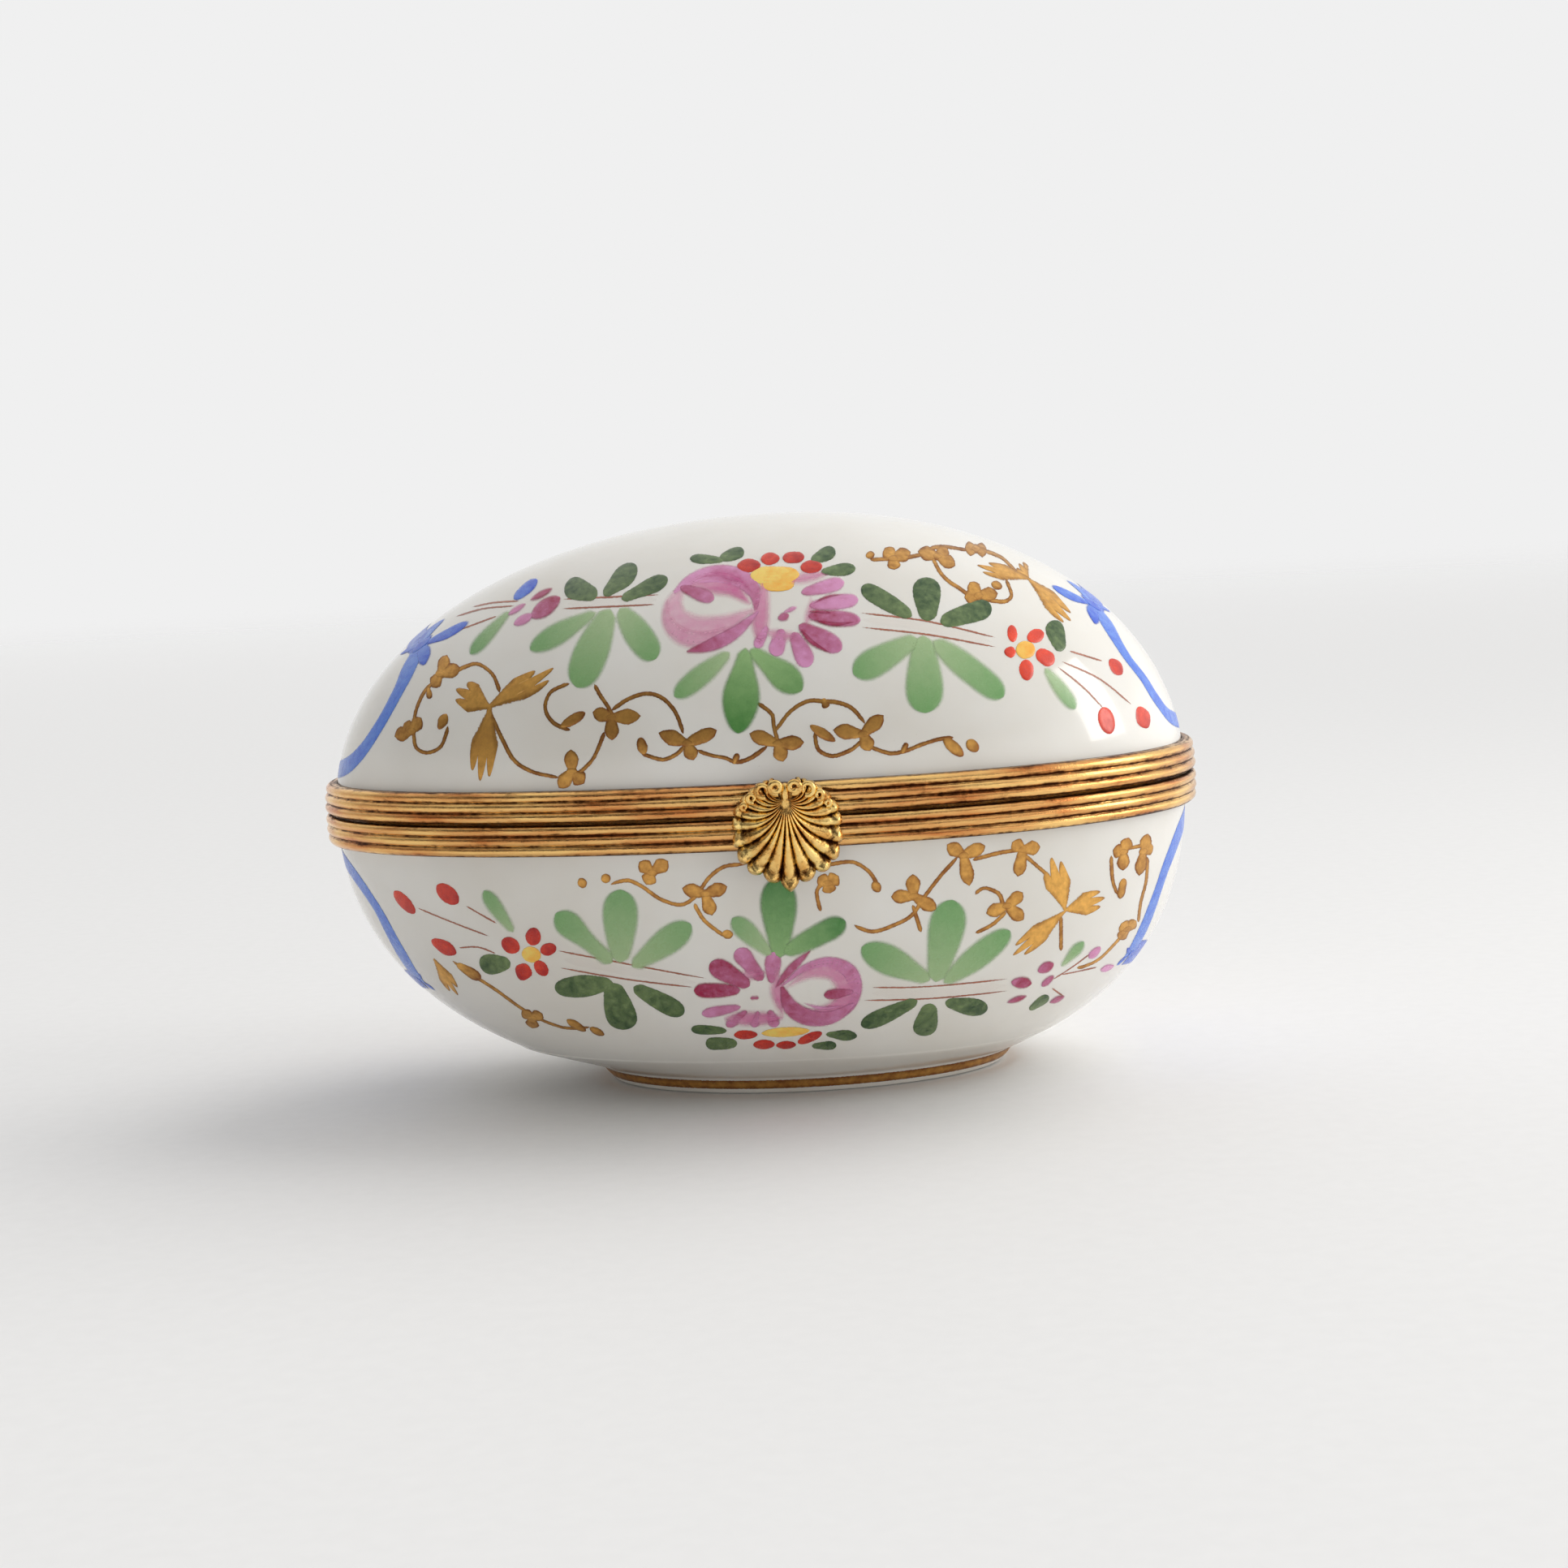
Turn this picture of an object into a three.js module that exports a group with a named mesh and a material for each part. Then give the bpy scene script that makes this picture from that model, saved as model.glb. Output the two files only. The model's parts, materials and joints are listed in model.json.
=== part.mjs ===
// An egg-shaped porcelain trinket box, lying on its side on a low foot ring.
// The egg is cut level into a base and a lid. Each rim carries a reeded brass bezel, the two bezels are
// joined by a five-knuckle hinge at the back, and a scallop shell on a spring tongue closes the front.
//
// Millimetres, +Z up, +X towards the blunt end, -Y towards the clasp. The origin is on the table, under the
// middle of the box's length. Everything is drawn with z = 0 at the seam, and the outer group lifts it.

import * as THREE from 'three';
import { LoftGeometry } from 'three/addons/geometries/LoftGeometry.js';

// ---------------------------------------------------------------- driving dimensions

const NARROW_LENGTH = 52.8; // clasp line to the narrow end of the porcelain, at the seam
const BLUNT_LENGTH = 46.0; // clasp line to the blunt end
const HALF_WIDTH = 32.5;
const PLAN_FULLNESS = 2.15; // superellipse exponent of the egg seen from above; 2 is an ellipse
const LID_RISE = 31.8; // seam to the top of the lid
const LID_FULLNESS = 2.1;
const BASE_DROP = 34.5; // depth the egg would have below the seam without its foot
const BASE_FULLNESS = 2.375;
const BASE_FULLNESS_SWING = 0.125; // the blunt end is fuller below the seam than the narrow end
const SEAM_HEIGHT = 33.5; // foot to seam

const WALL = 2.4; // porcelain at the rim
const RIM_SETBACK = 1.35; // porcelain edge to the seam plane
const LID_INSIDE_RISE = 29.5;
const LID_INSIDE_FULLNESS = 2.25;
const BASE_INSIDE_DROP = 29.3;
const BASE_INSIDE_FULLNESS = 2.9;

const FOOT_CENTRE = 0.5; // from the clasp line, towards the blunt end
const FOOT_HALF_LENGTH = 22.4; // to the outer edge of the resting face
const FOOT_ASPECT = 0.655; // foot width over foot length
const FOOT_FACE_WIDTH = 2.0;
const FOOT_RECESS = 2.0;
// [past the edge of the resting face, above the table]
const FOOT_FLARE = [[4.0, 2.6], [2.2, 1.9], [1.3, 0.9], [0.7, 0.2], [0, 0]];
const FOOT_INSIDE = [[0, 0], [0.6, 0.9], [1.8, 1.8]];

const BEZEL_HEIGHT = 3.5; // seam to the bezel's free edge
const SEAM_GAP = 0.3; // between the two bezels when closed
const REED_COUNT = 3;
const REED_PITCH = (BEZEL_HEIGHT - SEAM_GAP / 2) / REED_COUNT;
const REED_CREST = 1.35; // crest and valley, outwards from the porcelain
const REED_VALLEY = 1.02;
const GRIP = 0.1; // bezel to porcelain
const SHELF = 0.6; // brass over the porcelain's edge
const INNER_LIP = 2.2; // height of the bezel's turned-in lip
const COLLAR_RISE = 1.8; // locating collar above the seam
const COLLAR_CLEARANCE = 0.25; // lid lip to collar

const BARREL_RADIUS = 1.2;
const BORE_RADIUS = 0.62;
const PIN_RADIUS = 0.52;
const KNUCKLE_LENGTH = 3.9;
const KNUCKLE_PITCH = 4.1;
const KNUCKLE_COUNT = 5;
const HINGE_AXIS_Y = HALF_WIDTH + 3.3;
const LEAF_HALF_LENGTH = (KNUCKLE_COUNT * KNUCKLE_PITCH) / 2 + 0.6;

const PLATE_BACK = REED_CREST + 0.1; // clasp mounting plate, outwards from the porcelain
const PLATE_THICKNESS = 0.35;
const TONGUE_BACK = PLATE_BACK + PLATE_THICKNESS + 0.1;
const TONGUE_THICKNESS = 0.35;
const SHELL_BACK = TONGUE_BACK + TONGUE_THICKNESS + 0.05;
const SHELL_TOP = 4.2; // above the seam
const SHELL_BOTTOM = -7.6;
const SHELL_HALF_WIDTH = 5.6;

const AROUND = 56; // facets round the egg

// ---------------------------------------------------------------- materials

const porcelain = new THREE.MeshStandardMaterial({ color: 0xf2f1ec, roughness: 0.12, metalness: 0 });
const gilt = new THREE.MeshStandardMaterial({ color: 0xc8963e, roughness: 0.28, metalness: 1 });
const brightGilt = new THREE.MeshStandardMaterial({ color: 0xe0b45a, roughness: 0.2, metalness: 1 });
const steel = new THREE.MeshStandardMaterial({ color: 0xa8a49a, roughness: 0.35, metalness: 1 });
const plaster = new THREE.MeshStandardMaterial({ color: 0xe6dfd0, roughness: 0.9, metalness: 0 });

// ---------------------------------------------------------------- the egg's outline and rings

const power = (value, exponent) => Math.sign(value) * Math.abs(value) ** exponent;

// Half the egg's length passes smoothly from the narrow end's to the blunt end's.
const MEAN_LENGTH = (NARROW_LENGTH + BLUNT_LENGTH) / 2;
const LENGTH_SWING = (NARROW_LENGTH - BLUNT_LENGTH) / 2;
function halfLength(angle) {
  const c = Math.cos(angle);
  return MEAN_LENGTH - (LENGTH_SWING * (3 * c - c ** 3)) / 2;
}

// A point of the egg's outline at the seam, seen from above, moved outwards by offset.
function outline(angle, offset = 0) {
  const length = halfLength(angle);
  const x = length * power(Math.cos(angle), 2 / PLAN_FULLNESS);
  const y = HALF_WIDTH * power(Math.sin(angle), 2 / PLAN_FULLNESS);
  const n = PLAN_FULLNESS - 1;
  const normal = new THREE.Vector2(power(x / length, n) / length, power(y / HALF_WIDTH, n) / HALF_WIDTH);
  return new THREE.Vector2(x, y).addScaledVector(normal.normalize(), offset);
}

const angles = Array.from({ length: AROUND }, (_, i) => (2 * Math.PI * (i + 0.5)) / AROUND);

// A closed ring round the egg. place, or place(angle), holds the outward offset, the share of the
// outline and the height.
function ring(place) {
  return angles.map((angle) => {
    const { share = 1, offset = 0, z } = typeof place === 'function' ? place(angle) : place;
    const p = outline(angle, offset);
    return new THREE.Vector3(p.x * share, p.y * share, z);
  });
}

// Share of the outline that the porcelain's outside has at a height above or below the seam.
const lidShare = (z) => (1 - (z / LID_RISE) ** LID_FULLNESS) ** (1 / LID_FULLNESS);
const baseFullness = (angle) => BASE_FULLNESS + BASE_FULLNESS_SWING * Math.cos(angle);
function baseShare(depth, angle) {
  const n = baseFullness(angle);
  return (1 - (depth / BASE_DROP) ** n) ** (1 / n);
}

// Rings from the rim to the pole of a dome, evenly spaced in latitude. The pole itself is the last ring.
function dome({ from, to = 1, steps, rise, fullness, offset = 0, sign = 1 }) {
  return Array.from({ length: steps + 1 }, (_, i) => {
    const latitude = (Math.PI / 2) * (from + ((to - from) * i) / steps);
    return ring((angle) => {
      const n = typeof fullness === 'function' ? fullness(angle) : fullness;
      const share = Math.max(Math.cos(latitude), 0) ** (2 / n);
      const z = sign * rise * Math.sin(latitude) ** (2 / n);
      return { share: i === steps && to === 1 ? 0 : share, offset, z };
    });
  });
}

// Lofts through the sections with the faces turned outwards, whichever way round the sections are listed.
function loft(sections, options) {
  const wall = new LoftGeometry(sections).center();
  const position = wall.getAttribute('position');
  const corners = wall.getIndex().array;
  let volume = 0;
  const corner = (index) => new THREE.Vector3().fromBufferAttribute(position, corners[index]);
  for (let i = 0; i < corners.length; i += 3) {
    volume += corner(i).dot(corner(i + 1).cross(corner(i + 2)));
  }
  return new LoftGeometry(volume > 0 ? sections : [...sections].reverse(), options);
}

// ---------------------------------------------------------------- porcelain

function lidPorcelain() {
  const outsideFrom = 0.02;
  const insideFrom = 0.045;
  const rimOutside = ring({ share: lidShare(RIM_SETBACK), z: RIM_SETBACK });
  const rimInside = ring({ offset: -WALL, z: RIM_SETBACK });
  const outside = dome({
    from: outsideFrom, steps: 11, rise: LID_RISE, fullness: LID_FULLNESS,
  }).slice(1);
  const inside = dome({
    from: insideFrom, steps: 9, rise: LID_INSIDE_RISE, fullness: LID_INSIDE_FULLNESS, offset: -WALL,
  }).slice(1);
  return loft([...inside.reverse(), rimInside, rimOutside, ...outside]);
}

// The foot is an ellipse, so these rings leave the egg's outline.
function footRing(halfLength, z) {
  return angles.map((angle) => new THREE.Vector3(
    FOOT_CENTRE + halfLength * Math.cos(angle),
    halfLength * FOOT_ASPECT * Math.sin(angle),
    z,
  ));
}

function basePorcelain() {
  const foot = -SEAM_HEIGHT;
  const outerEdge = FOOT_HALF_LENGTH;
  const innerEdge = FOOT_HALF_LENGTH - FOOT_FACE_WIDTH;
  const rimOutside = ring((angle) => ({ share: baseShare(RIM_SETBACK, angle), z: -RIM_SETBACK }));
  const rimInside = ring({ offset: -WALL, z: -RIM_SETBACK });
  const outside = dome({
    from: 0.03, to: 0.62, steps: 9, rise: BASE_DROP, fullness: baseFullness, sign: -1,
  }).slice(1);
  const inside = dome({
    from: 0.06, steps: 9, rise: BASE_INSIDE_DROP, fullness: BASE_INSIDE_FULLNESS, offset: -WALL, sign: -1,
  }).slice(1);
  const footOutside = FOOT_FLARE.map(([past, height]) => footRing(outerEdge + past, foot + height));
  const footInside = [
    ...FOOT_INSIDE.map(([past, height]) => footRing(innerEdge - past, foot + height)),
    footRing(0, foot + FOOT_RECESS),
  ];
  return loft([
    ...footInside.reverse(), ...footOutside.reverse(), ...outside.reverse(),
    rimOutside, rimInside, ...inside,
  ]);
}

// ---------------------------------------------------------------- bezels and their inner rings

// The reeded outside of a bezel, from the seam edge to the free edge, as [offset, height] pairs.
function reeds() {
  const points = [];
  for (let i = 0; i < REED_COUNT; i += 1) {
    const start = SEAM_GAP / 2 + i * REED_PITCH;
    points.push([REED_VALLEY, start], [REED_CREST, start + REED_PITCH * 0.2]);
    points.push([REED_CREST, start + REED_PITCH * 0.8]);
  }
  points.push([REED_VALLEY, BEZEL_HEIGHT - 0.1], [GRIP, BEZEL_HEIGHT]);
  return points;
}

// A closed section swept round the egg, each point standing off the porcelain at its own height.
function hoop(section, sign) {
  const rings = section.map(([offset, height]) => ring((angle) => ({
    share: sign > 0 ? lidShare(height) : baseShare(height, angle), offset, z: sign * height,
  })));
  return loft([...rings, rings[0]]);
}

// A J-shaped channel: the reeded wall outside, a shelf over the porcelain's edge, and a lip inside it.
function bezel(sign, lipInside) {
  const shelfTop = SEAM_GAP / 2 + SHELF;
  const lipOutside = -WALL - GRIP;
  return hoop([
    ...reeds(),
    [GRIP, shelfTop],
    [lipOutside, shelfTop],
    [lipOutside, INNER_LIP],
    [lipInside, INNER_LIP],
    [lipInside, SEAM_GAP / 2],
  ], sign);
}

const COLLAR_OUTSIDE = -3.1;
const lidBezel = () => bezel(1, COLLAR_OUTSIDE + COLLAR_CLEARANCE);
const baseBezel = () => bezel(-1, COLLAR_OUTSIDE + 0.05);

// The plaster that beds the porcelain's edge in the channel.
function bedding(sign) {
  const bottom = SEAM_GAP / 2 + SHELF + 0.05;
  const top = RIM_SETBACK - 0.05;
  return hoop([[-0.1, bottom], [-0.1, top], [-WALL + 0.05, top], [-WALL + 0.05, bottom]], sign);
}

// An upright brass strip inside the base bezel, which finds its place inside the lid.
function locatingCollar() {
  const inside = COLLAR_OUTSIDE - 0.4;
  const section = [
    [COLLAR_OUTSIDE, -INNER_LIP],
    [COLLAR_OUTSIDE, COLLAR_RISE - 0.3],
    [COLLAR_OUTSIDE - 0.15, COLLAR_RISE],
    [inside, COLLAR_RISE],
    [inside, -INNER_LIP],
  ];
  const rings = section.map(([offset, z]) => ring({ offset, z }));
  return loft([...rings, rings[0]]);
}

// ---------------------------------------------------------------- hinge

// A leaf is flat outside, where the knuckles are soldered, and follows the bezel inside.
function hingeLeaf(sign) {
  const steps = 10;
  const outside = HINGE_AXIS_Y - BARREL_RADIUS - 0.15;
  const sections = Array.from({ length: steps + 1 }, (_, i) => {
    const x = LEAF_HALF_LENGTH * ((2 * i) / steps - 1);
    const share = (1 - (Math.abs(x) / MEAN_LENGTH) ** PLAN_FULLNESS) ** (1 / PLAN_FULLNESS);
    const inside = HALF_WIDTH * share + REED_CREST + 0.1;
    const near = sign * (SEAM_GAP / 2);
    const far = sign * (BEZEL_HEIGHT - 0.5);
    const section = [
      [inside, near], [outside, near], [outside, far - sign * 0.5], [outside - 0.4, far], [inside, far],
    ];
    return section.map(([y, z]) => new THREE.Vector3(x, y, z));
  });
  return loft(sections, { capStart: true, capEnd: true });
}

function tube(innerRadius, outerRadius, length, facets) {
  const h = length / 2;
  const profile = [
    [innerRadius, -h], [outerRadius, -h], [outerRadius, h], [innerRadius, h], [innerRadius, -h],
  ].map(([r, y]) => new THREE.Vector2(r, y));
  return new THREE.LatheGeometry(profile, facets).rotateZ(Math.PI / 2);
}

const KNUCKLE_FACETS = 20;
const knuckle = () => tube(BORE_RADIUS, BARREL_RADIUS, KNUCKLE_LENGTH, KNUCKLE_FACETS);
const knuckleX = (index) => (index - (KNUCKLE_COUNT - 1) / 2) * KNUCKLE_PITCH;

function hingePin() {
  const length = KNUCKLE_COUNT * KNUCKLE_PITCH + 0.6;
  return new THREE.CylinderGeometry(PIN_RADIUS, PIN_RADIUS, length, KNUCKLE_FACETS).rotateZ(Math.PI / 2);
}

// ---------------------------------------------------------------- clasp

// A plate with round corners, standing upright and growing towards the front.
function plate(halfWidth, bottom, top, corner, thickness) {
  const s = new THREE.Shape();
  s.moveTo(-halfWidth + corner, bottom);
  s.lineTo(halfWidth - corner, bottom);
  s.absarc(halfWidth - corner, bottom + corner, corner, -Math.PI / 2, 0);
  s.lineTo(halfWidth, top - corner);
  s.absarc(halfWidth - corner, top - corner, corner, 0, Math.PI / 2);
  s.lineTo(-halfWidth + corner, top);
  s.absarc(-halfWidth + corner, top - corner, corner, Math.PI / 2, Math.PI);
  s.lineTo(-halfWidth, bottom + corner);
  s.absarc(-halfWidth + corner, bottom + corner, corner, Math.PI, Math.PI * 1.5);
  const options = { depth: thickness, bevelEnabled: false, curveSegments: 4 };
  return new THREE.ExtrudeGeometry(s, options).rotateX(Math.PI / 2);
}

const mountPlate = () => plate(3.4, 0.5, BEZEL_HEIGHT - 0.5, 0.6, PLATE_THICKNESS);
const springTongue = () => plate(2.4, -5.4, BEZEL_HEIGHT - 0.6, 0.8, TONGUE_THICKNESS);

// The small domed stud that the tongue snaps over.
function catchStud() {
  const radius = 0.9;
  const height = TONGUE_BACK - REED_CREST - 0.25;
  const profile = [
    [0, 0], [radius, 0], [radius * 0.85, height * 0.6], [radius * 0.5, height * 0.92], [0, height],
  ];
  const points = profile.map(([r, y]) => new THREE.Vector2(r, y));
  return new THREE.LatheGeometry(points, 16).rotateX(Math.PI);
}

// The scallop: ribs fan out from an umbo near its top to a round edge, which is scalloped between them.
const SHELL_LOBES = 14;
const POINTS_PER_LOBE = 6;
const SHELL_EDGE_THICKNESS = 0.5;
const SHELL_DOME = 1.6;
const RIB_HEIGHT = 0.3;
const LOBE_DEPTH = 0.06; // of the half width

function scallop() {
  const umbo = new THREE.Vector2(0, SHELL_TOP - 2.3);
  const middle = new THREE.Vector2(0, (SHELL_TOP + SHELL_BOTTOM) / 2);
  const halfHeight = (SHELL_TOP - SHELL_BOTTOM) / 2;
  const count = SHELL_LOBES * POINTS_PER_LOBE;

  // share 0 is the umbo and 1 the edge. Points without a depth lie on the ribbed front.
  const point = (i, share, depth) => {
    const lobe = Math.abs(Math.cos((Math.PI * i) / POINTS_PER_LOBE));
    const reach = 1 - LOBE_DEPTH * (1 - lobe);
    const angle = (2 * Math.PI * i) / count - Math.PI / 2;
    const edge = new THREE.Vector2(SHELL_HALF_WIDTH * Math.cos(angle), halfHeight * Math.sin(angle));
    const { x, y: z } = edge.multiplyScalar(reach).add(middle).lerp(umbo, 1 - share);
    const front = SHELL_EDGE_THICKNESS + SHELL_DOME * (1 - share ** 2) + RIB_HEIGHT * share * lobe;
    return new THREE.Vector3(x, -(depth ?? front), z);
  };
  const section = (share, depth) => Array.from({ length: count }, (_, i) => point(i, share, depth));
  const front = [0, 0.15, 0.35, 0.55, 0.75, 0.9, 1].map((share) => section(share));
  return loft([...front, section(1, 0), section(0, 0)]);
}

// ---------------------------------------------------------------- assembly

const box = new THREE.Group();
box.position.set((NARROW_LENGTH - BLUNT_LENGTH) / 2, 0, SEAM_HEIGHT);

function add(name, geometry, material, x = 0, y = 0, z = 0) {
  const mesh = new THREE.Mesh(geometry, material);
  mesh.name = name;
  mesh.position.set(x, y, z);
  box.add(mesh);
}

add('base_porcelain', basePorcelain(), porcelain);
add('base_plaster_bedding', bedding(-1), plaster);
add('base_bezel', baseBezel(), gilt);
add('locating_collar', locatingCollar(), gilt);

add('lid_porcelain', lidPorcelain(), porcelain);
add('lid_plaster_bedding', bedding(1), plaster);
add('lid_bezel', lidBezel(), gilt);

add('base_hinge_leaf', hingeLeaf(-1), gilt);
add('lid_hinge_leaf', hingeLeaf(1), gilt);
const knuckleNames = [
  'base_knuckle_left', 'lid_knuckle_left', 'base_knuckle_middle', 'lid_knuckle_right', 'base_knuckle_right',
];
knuckleNames.forEach((name, index) => add(name, knuckle(), gilt, knuckleX(index), HINGE_AXIS_Y));
add('hinge_pin', hingePin(), steel, 0, HINGE_AXIS_Y);

add('catch_stud', catchStud(), gilt, 0, -(HALF_WIDTH + REED_CREST + 0.1), -2.4);
add('clasp_mount_plate', mountPlate(), gilt, 0, -(HALF_WIDTH + PLATE_BACK));
add('clasp_spring_tongue', springTongue(), gilt, 0, -(HALF_WIDTH + TONGUE_BACK));
add('shell_clasp', scallop(), brightGilt, 0, -(HALF_WIDTH + SHELL_BACK));

export default box;
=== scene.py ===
"""The looks of an egg-shaped porcelain trinket box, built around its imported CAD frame.

Shapes are worked out in millimetres in the box's own seam frame: x = 0 on the clasp line, y = 0 at
mid-depth, z = 0 at the seam. shown() turns them into the frame's metres.
"""

import json
import math

import bmesh
import bpy
import numpy as np
from mathutils import Matrix, Vector


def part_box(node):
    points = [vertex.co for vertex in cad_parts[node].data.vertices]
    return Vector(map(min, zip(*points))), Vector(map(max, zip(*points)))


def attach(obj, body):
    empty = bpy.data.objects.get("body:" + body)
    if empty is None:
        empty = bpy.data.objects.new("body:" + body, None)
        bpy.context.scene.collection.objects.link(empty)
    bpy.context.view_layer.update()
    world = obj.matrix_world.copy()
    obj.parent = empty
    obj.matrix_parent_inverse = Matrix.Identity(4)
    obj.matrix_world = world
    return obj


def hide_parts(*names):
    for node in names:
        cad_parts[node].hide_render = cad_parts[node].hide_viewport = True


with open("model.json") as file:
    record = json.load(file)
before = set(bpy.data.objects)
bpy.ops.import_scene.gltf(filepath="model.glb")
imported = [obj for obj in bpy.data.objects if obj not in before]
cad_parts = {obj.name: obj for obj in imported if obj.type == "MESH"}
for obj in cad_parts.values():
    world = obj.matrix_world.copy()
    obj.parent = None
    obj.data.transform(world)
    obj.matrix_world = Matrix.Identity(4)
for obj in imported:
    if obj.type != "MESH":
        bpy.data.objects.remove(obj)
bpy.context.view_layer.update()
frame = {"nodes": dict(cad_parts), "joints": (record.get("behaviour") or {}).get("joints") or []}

MM = 0.001
RANDOM = np.random.default_rng(12)

# ---------------------------------------------------------------- dimensions, in mm

hinge = next(joint for joint in frame["joints"] if joint["name"] == "lid_hinge")
CLASP_X, HINGE_Y, SEAM_HEIGHT = (value / MM for value in hinge["pos_m"])

NARROW_LENGTH = 52.8  # clasp line to the narrow end of the porcelain, at the seam
BLUNT_LENGTH = 46.0
MEAN_LENGTH = (NARROW_LENGTH + BLUNT_LENGTH) / 2
LENGTH_SWING = (NARROW_LENGTH - BLUNT_LENGTH) / 2
HALF_WIDTH = 32.5
PLAN_FULLNESS = 2.15  # superellipse exponent of the egg seen from above
LID_RISE = 31.8
LID_FULLNESS = 2.1
BASE_DROP = 34.5
BASE_FULLNESS = 2.375
BASE_FULLNESS_SWING = 0.125  # the blunt end is the fuller one below the seam

WALL = 2.4
RIM = 1.35  # porcelain edge to the seam plane
LID_INSIDE = (29.5, 2.25)  # rise and fullness of the hollow
BASE_INSIDE = (29.3, 2.9)

FOOT_CENTRE = 0.5
FOOT_ASPECT = 0.655
FOOT_PROFILE = [(26.4, 2.6), (24.6, 1.9), (23.7, 0.9), (23.1, 0.2), (22.4, 0.0)]  # half length, height
FOOT_INSIDE = [(20.4, 0.0), (19.8, 0.9), (18.6, 1.8), (15.0, 2.0), (7.0, 2.0), (0.0, 2.0)]
FOOT_LINE = (0.6, 1.8)  # the gilt line round the foot, between these heights
FOOT_NECK = 4.0  # the foot is below this height

SEAM_GAP = 0.3
BEZEL_HEIGHT = 3.5
REED_COUNT = 3
REED_PITCH = (BEZEL_HEIGHT - SEAM_GAP / 2) / REED_COUNT
REED_CREST = 1.35
REED_VALLEY = 0.86
COLLAR_OUTSIDE = -3.1

SHELL_BACK = 2.35  # back of the shell clasp, outwards from the porcelain
BARREL_RADIUS = 1.2
BORE_RADIUS = 0.62
PIN_RADIUS = 0.52
SOFT_EDGE = 0.12  # how much the small brass parts' edges are rounded
AROUND = 256  # facets round the egg
GRAIN_LENGTH = 260.0  # once round a bezel


# ---------------------------------------------------------------- the egg

def power(value, exponent):
    return np.sign(value) * np.abs(value) ** exponent


def half_length(angle):
    c = np.cos(angle)
    return MEAN_LENGTH - LENGTH_SWING * (3 * c - c**3) / 2


def outline(angle, offset=0.0):
    """Points of the egg's outline at the seam, moved outwards by offset."""
    length = half_length(angle)
    x = length * power(np.cos(angle), 2 / PLAN_FULLNESS)
    y = HALF_WIDTH * power(np.sin(angle), 2 / PLAN_FULLNESS)
    n = PLAN_FULLNESS - 1
    normal = np.stack([power(x / length, n) / length, power(y / HALF_WIDTH, n) / HALF_WIDTH], -1)
    normal /= np.linalg.norm(normal, axis=-1, keepdims=True)
    return np.stack([x, y], -1) + normal * np.asarray(offset)[..., None]


def base_fullness(angle):
    return BASE_FULLNESS + BASE_FULLNESS_SWING * np.cos(angle)


def share_at(z, angle):
    """Share of the outline that the porcelain's outside has at height z."""
    fullness = LID_FULLNESS if z >= 0 else base_fullness(angle)
    return (1 - (abs(z) / (LID_RISE if z >= 0 else BASE_DROP)) ** fullness) ** (1 / fullness)


# The first angle is at the hinge, where a seam in the metal's grain is out of sight.
ANGLES = math.pi / 2 + 2 * math.pi * np.arange(AROUND) / AROUND


def ring(z, offset=0.0, share=1.0):
    flat = outline(ANGLES, offset) * np.reshape(share, (-1, 1))
    return np.column_stack([flat, np.broadcast_to(z, AROUND)])


def glaze_ring(z, offset=0.0):
    """A ring that follows the porcelain's outside at height z, moved outwards by offset."""
    return ring(z, offset, share_at(z, ANGLES))


def dome(sign, rise, fullness, start, end, steps, offset=0.0):
    """Rings of a dome; start and end are shares of the way from the seam to the pole."""
    rings = []
    for latitude in np.linspace(start, end, steps + 1) * math.pi / 2:
        n = fullness(ANGLES) if callable(fullness) else fullness
        share = max(math.cos(latitude), 0.0) ** (2 / n)
        rings.append(ring(sign * rise * math.sin(latitude) ** (2 / n), offset, share))
    return rings


def excess(points):
    """Below 0 inside the egg, above 0 outside it."""
    x, y, z = points[..., 0], points[..., 1], points[..., 2]
    length = MEAN_LENGTH
    for _ in range(4):
        angle = np.arctan2(power(y / HALF_WIDTH, PLAN_FULLNESS / 2), power(x / length, PLAN_FULLNESS / 2))
        length = half_length(angle)
    flat = np.abs(x / length) ** PLAN_FULLNESS + np.abs(y / HALF_WIDTH) ** PLAN_FULLNESS
    share = flat ** (1 / PLAN_FULLNESS)
    fullness = np.where(z >= 0, LID_FULLNESS, base_fullness(angle))
    rise = np.where(z >= 0, LID_RISE, BASE_DROP)
    return share**fullness + np.abs(z / rise) ** fullness - 1


def normals(points):
    step = 0.02
    shifts = np.eye(3) * step
    slopes = [excess(points + shift) - excess(points - shift) for shift in shifts]
    gradient = np.stack(slopes, -1)
    return gradient / np.linalg.norm(gradient, axis=-1, keepdims=True)


# ---------------------------------------------------------------- meshes

def shown(points):
    """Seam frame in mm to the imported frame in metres."""
    return (np.asarray(points, float) + (CLASP_X, 0, SEAM_HEIGHT)) * MM


def mesh_object(name, points, faces, attributes):
    mesh = bpy.data.meshes.new(name)
    mesh.from_pydata(shown(points).tolist(), [], [[int(corner) for corner in face] for face in faces])
    for key, values in attributes.items():
        layer = mesh.attributes.new(key, "FLOAT", "POINT")
        layer.data.foreach_set("value", np.ravel(values).astype(np.float32))
    mesh.shade_smooth()
    piece = bpy.data.objects.new(name, mesh)
    bpy.context.scene.collection.objects.link(piece)
    return piece


def grid_faces(rows, columns, wrap_rows=False, wrap_columns=True):
    """Quads over a grid of rows by columns."""
    i, j = np.meshgrid(
        np.arange(rows if wrap_rows else rows - 1),
        np.arange(columns if wrap_columns else columns - 1),
        indexing="ij",
    )
    i, j = i.ravel(), j.ravel()
    up, on = (i + 1) % rows, (j + 1) % columns
    return np.column_stack([i * columns + j, i * columns + on, up * columns + on, up * columns + j])


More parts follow.
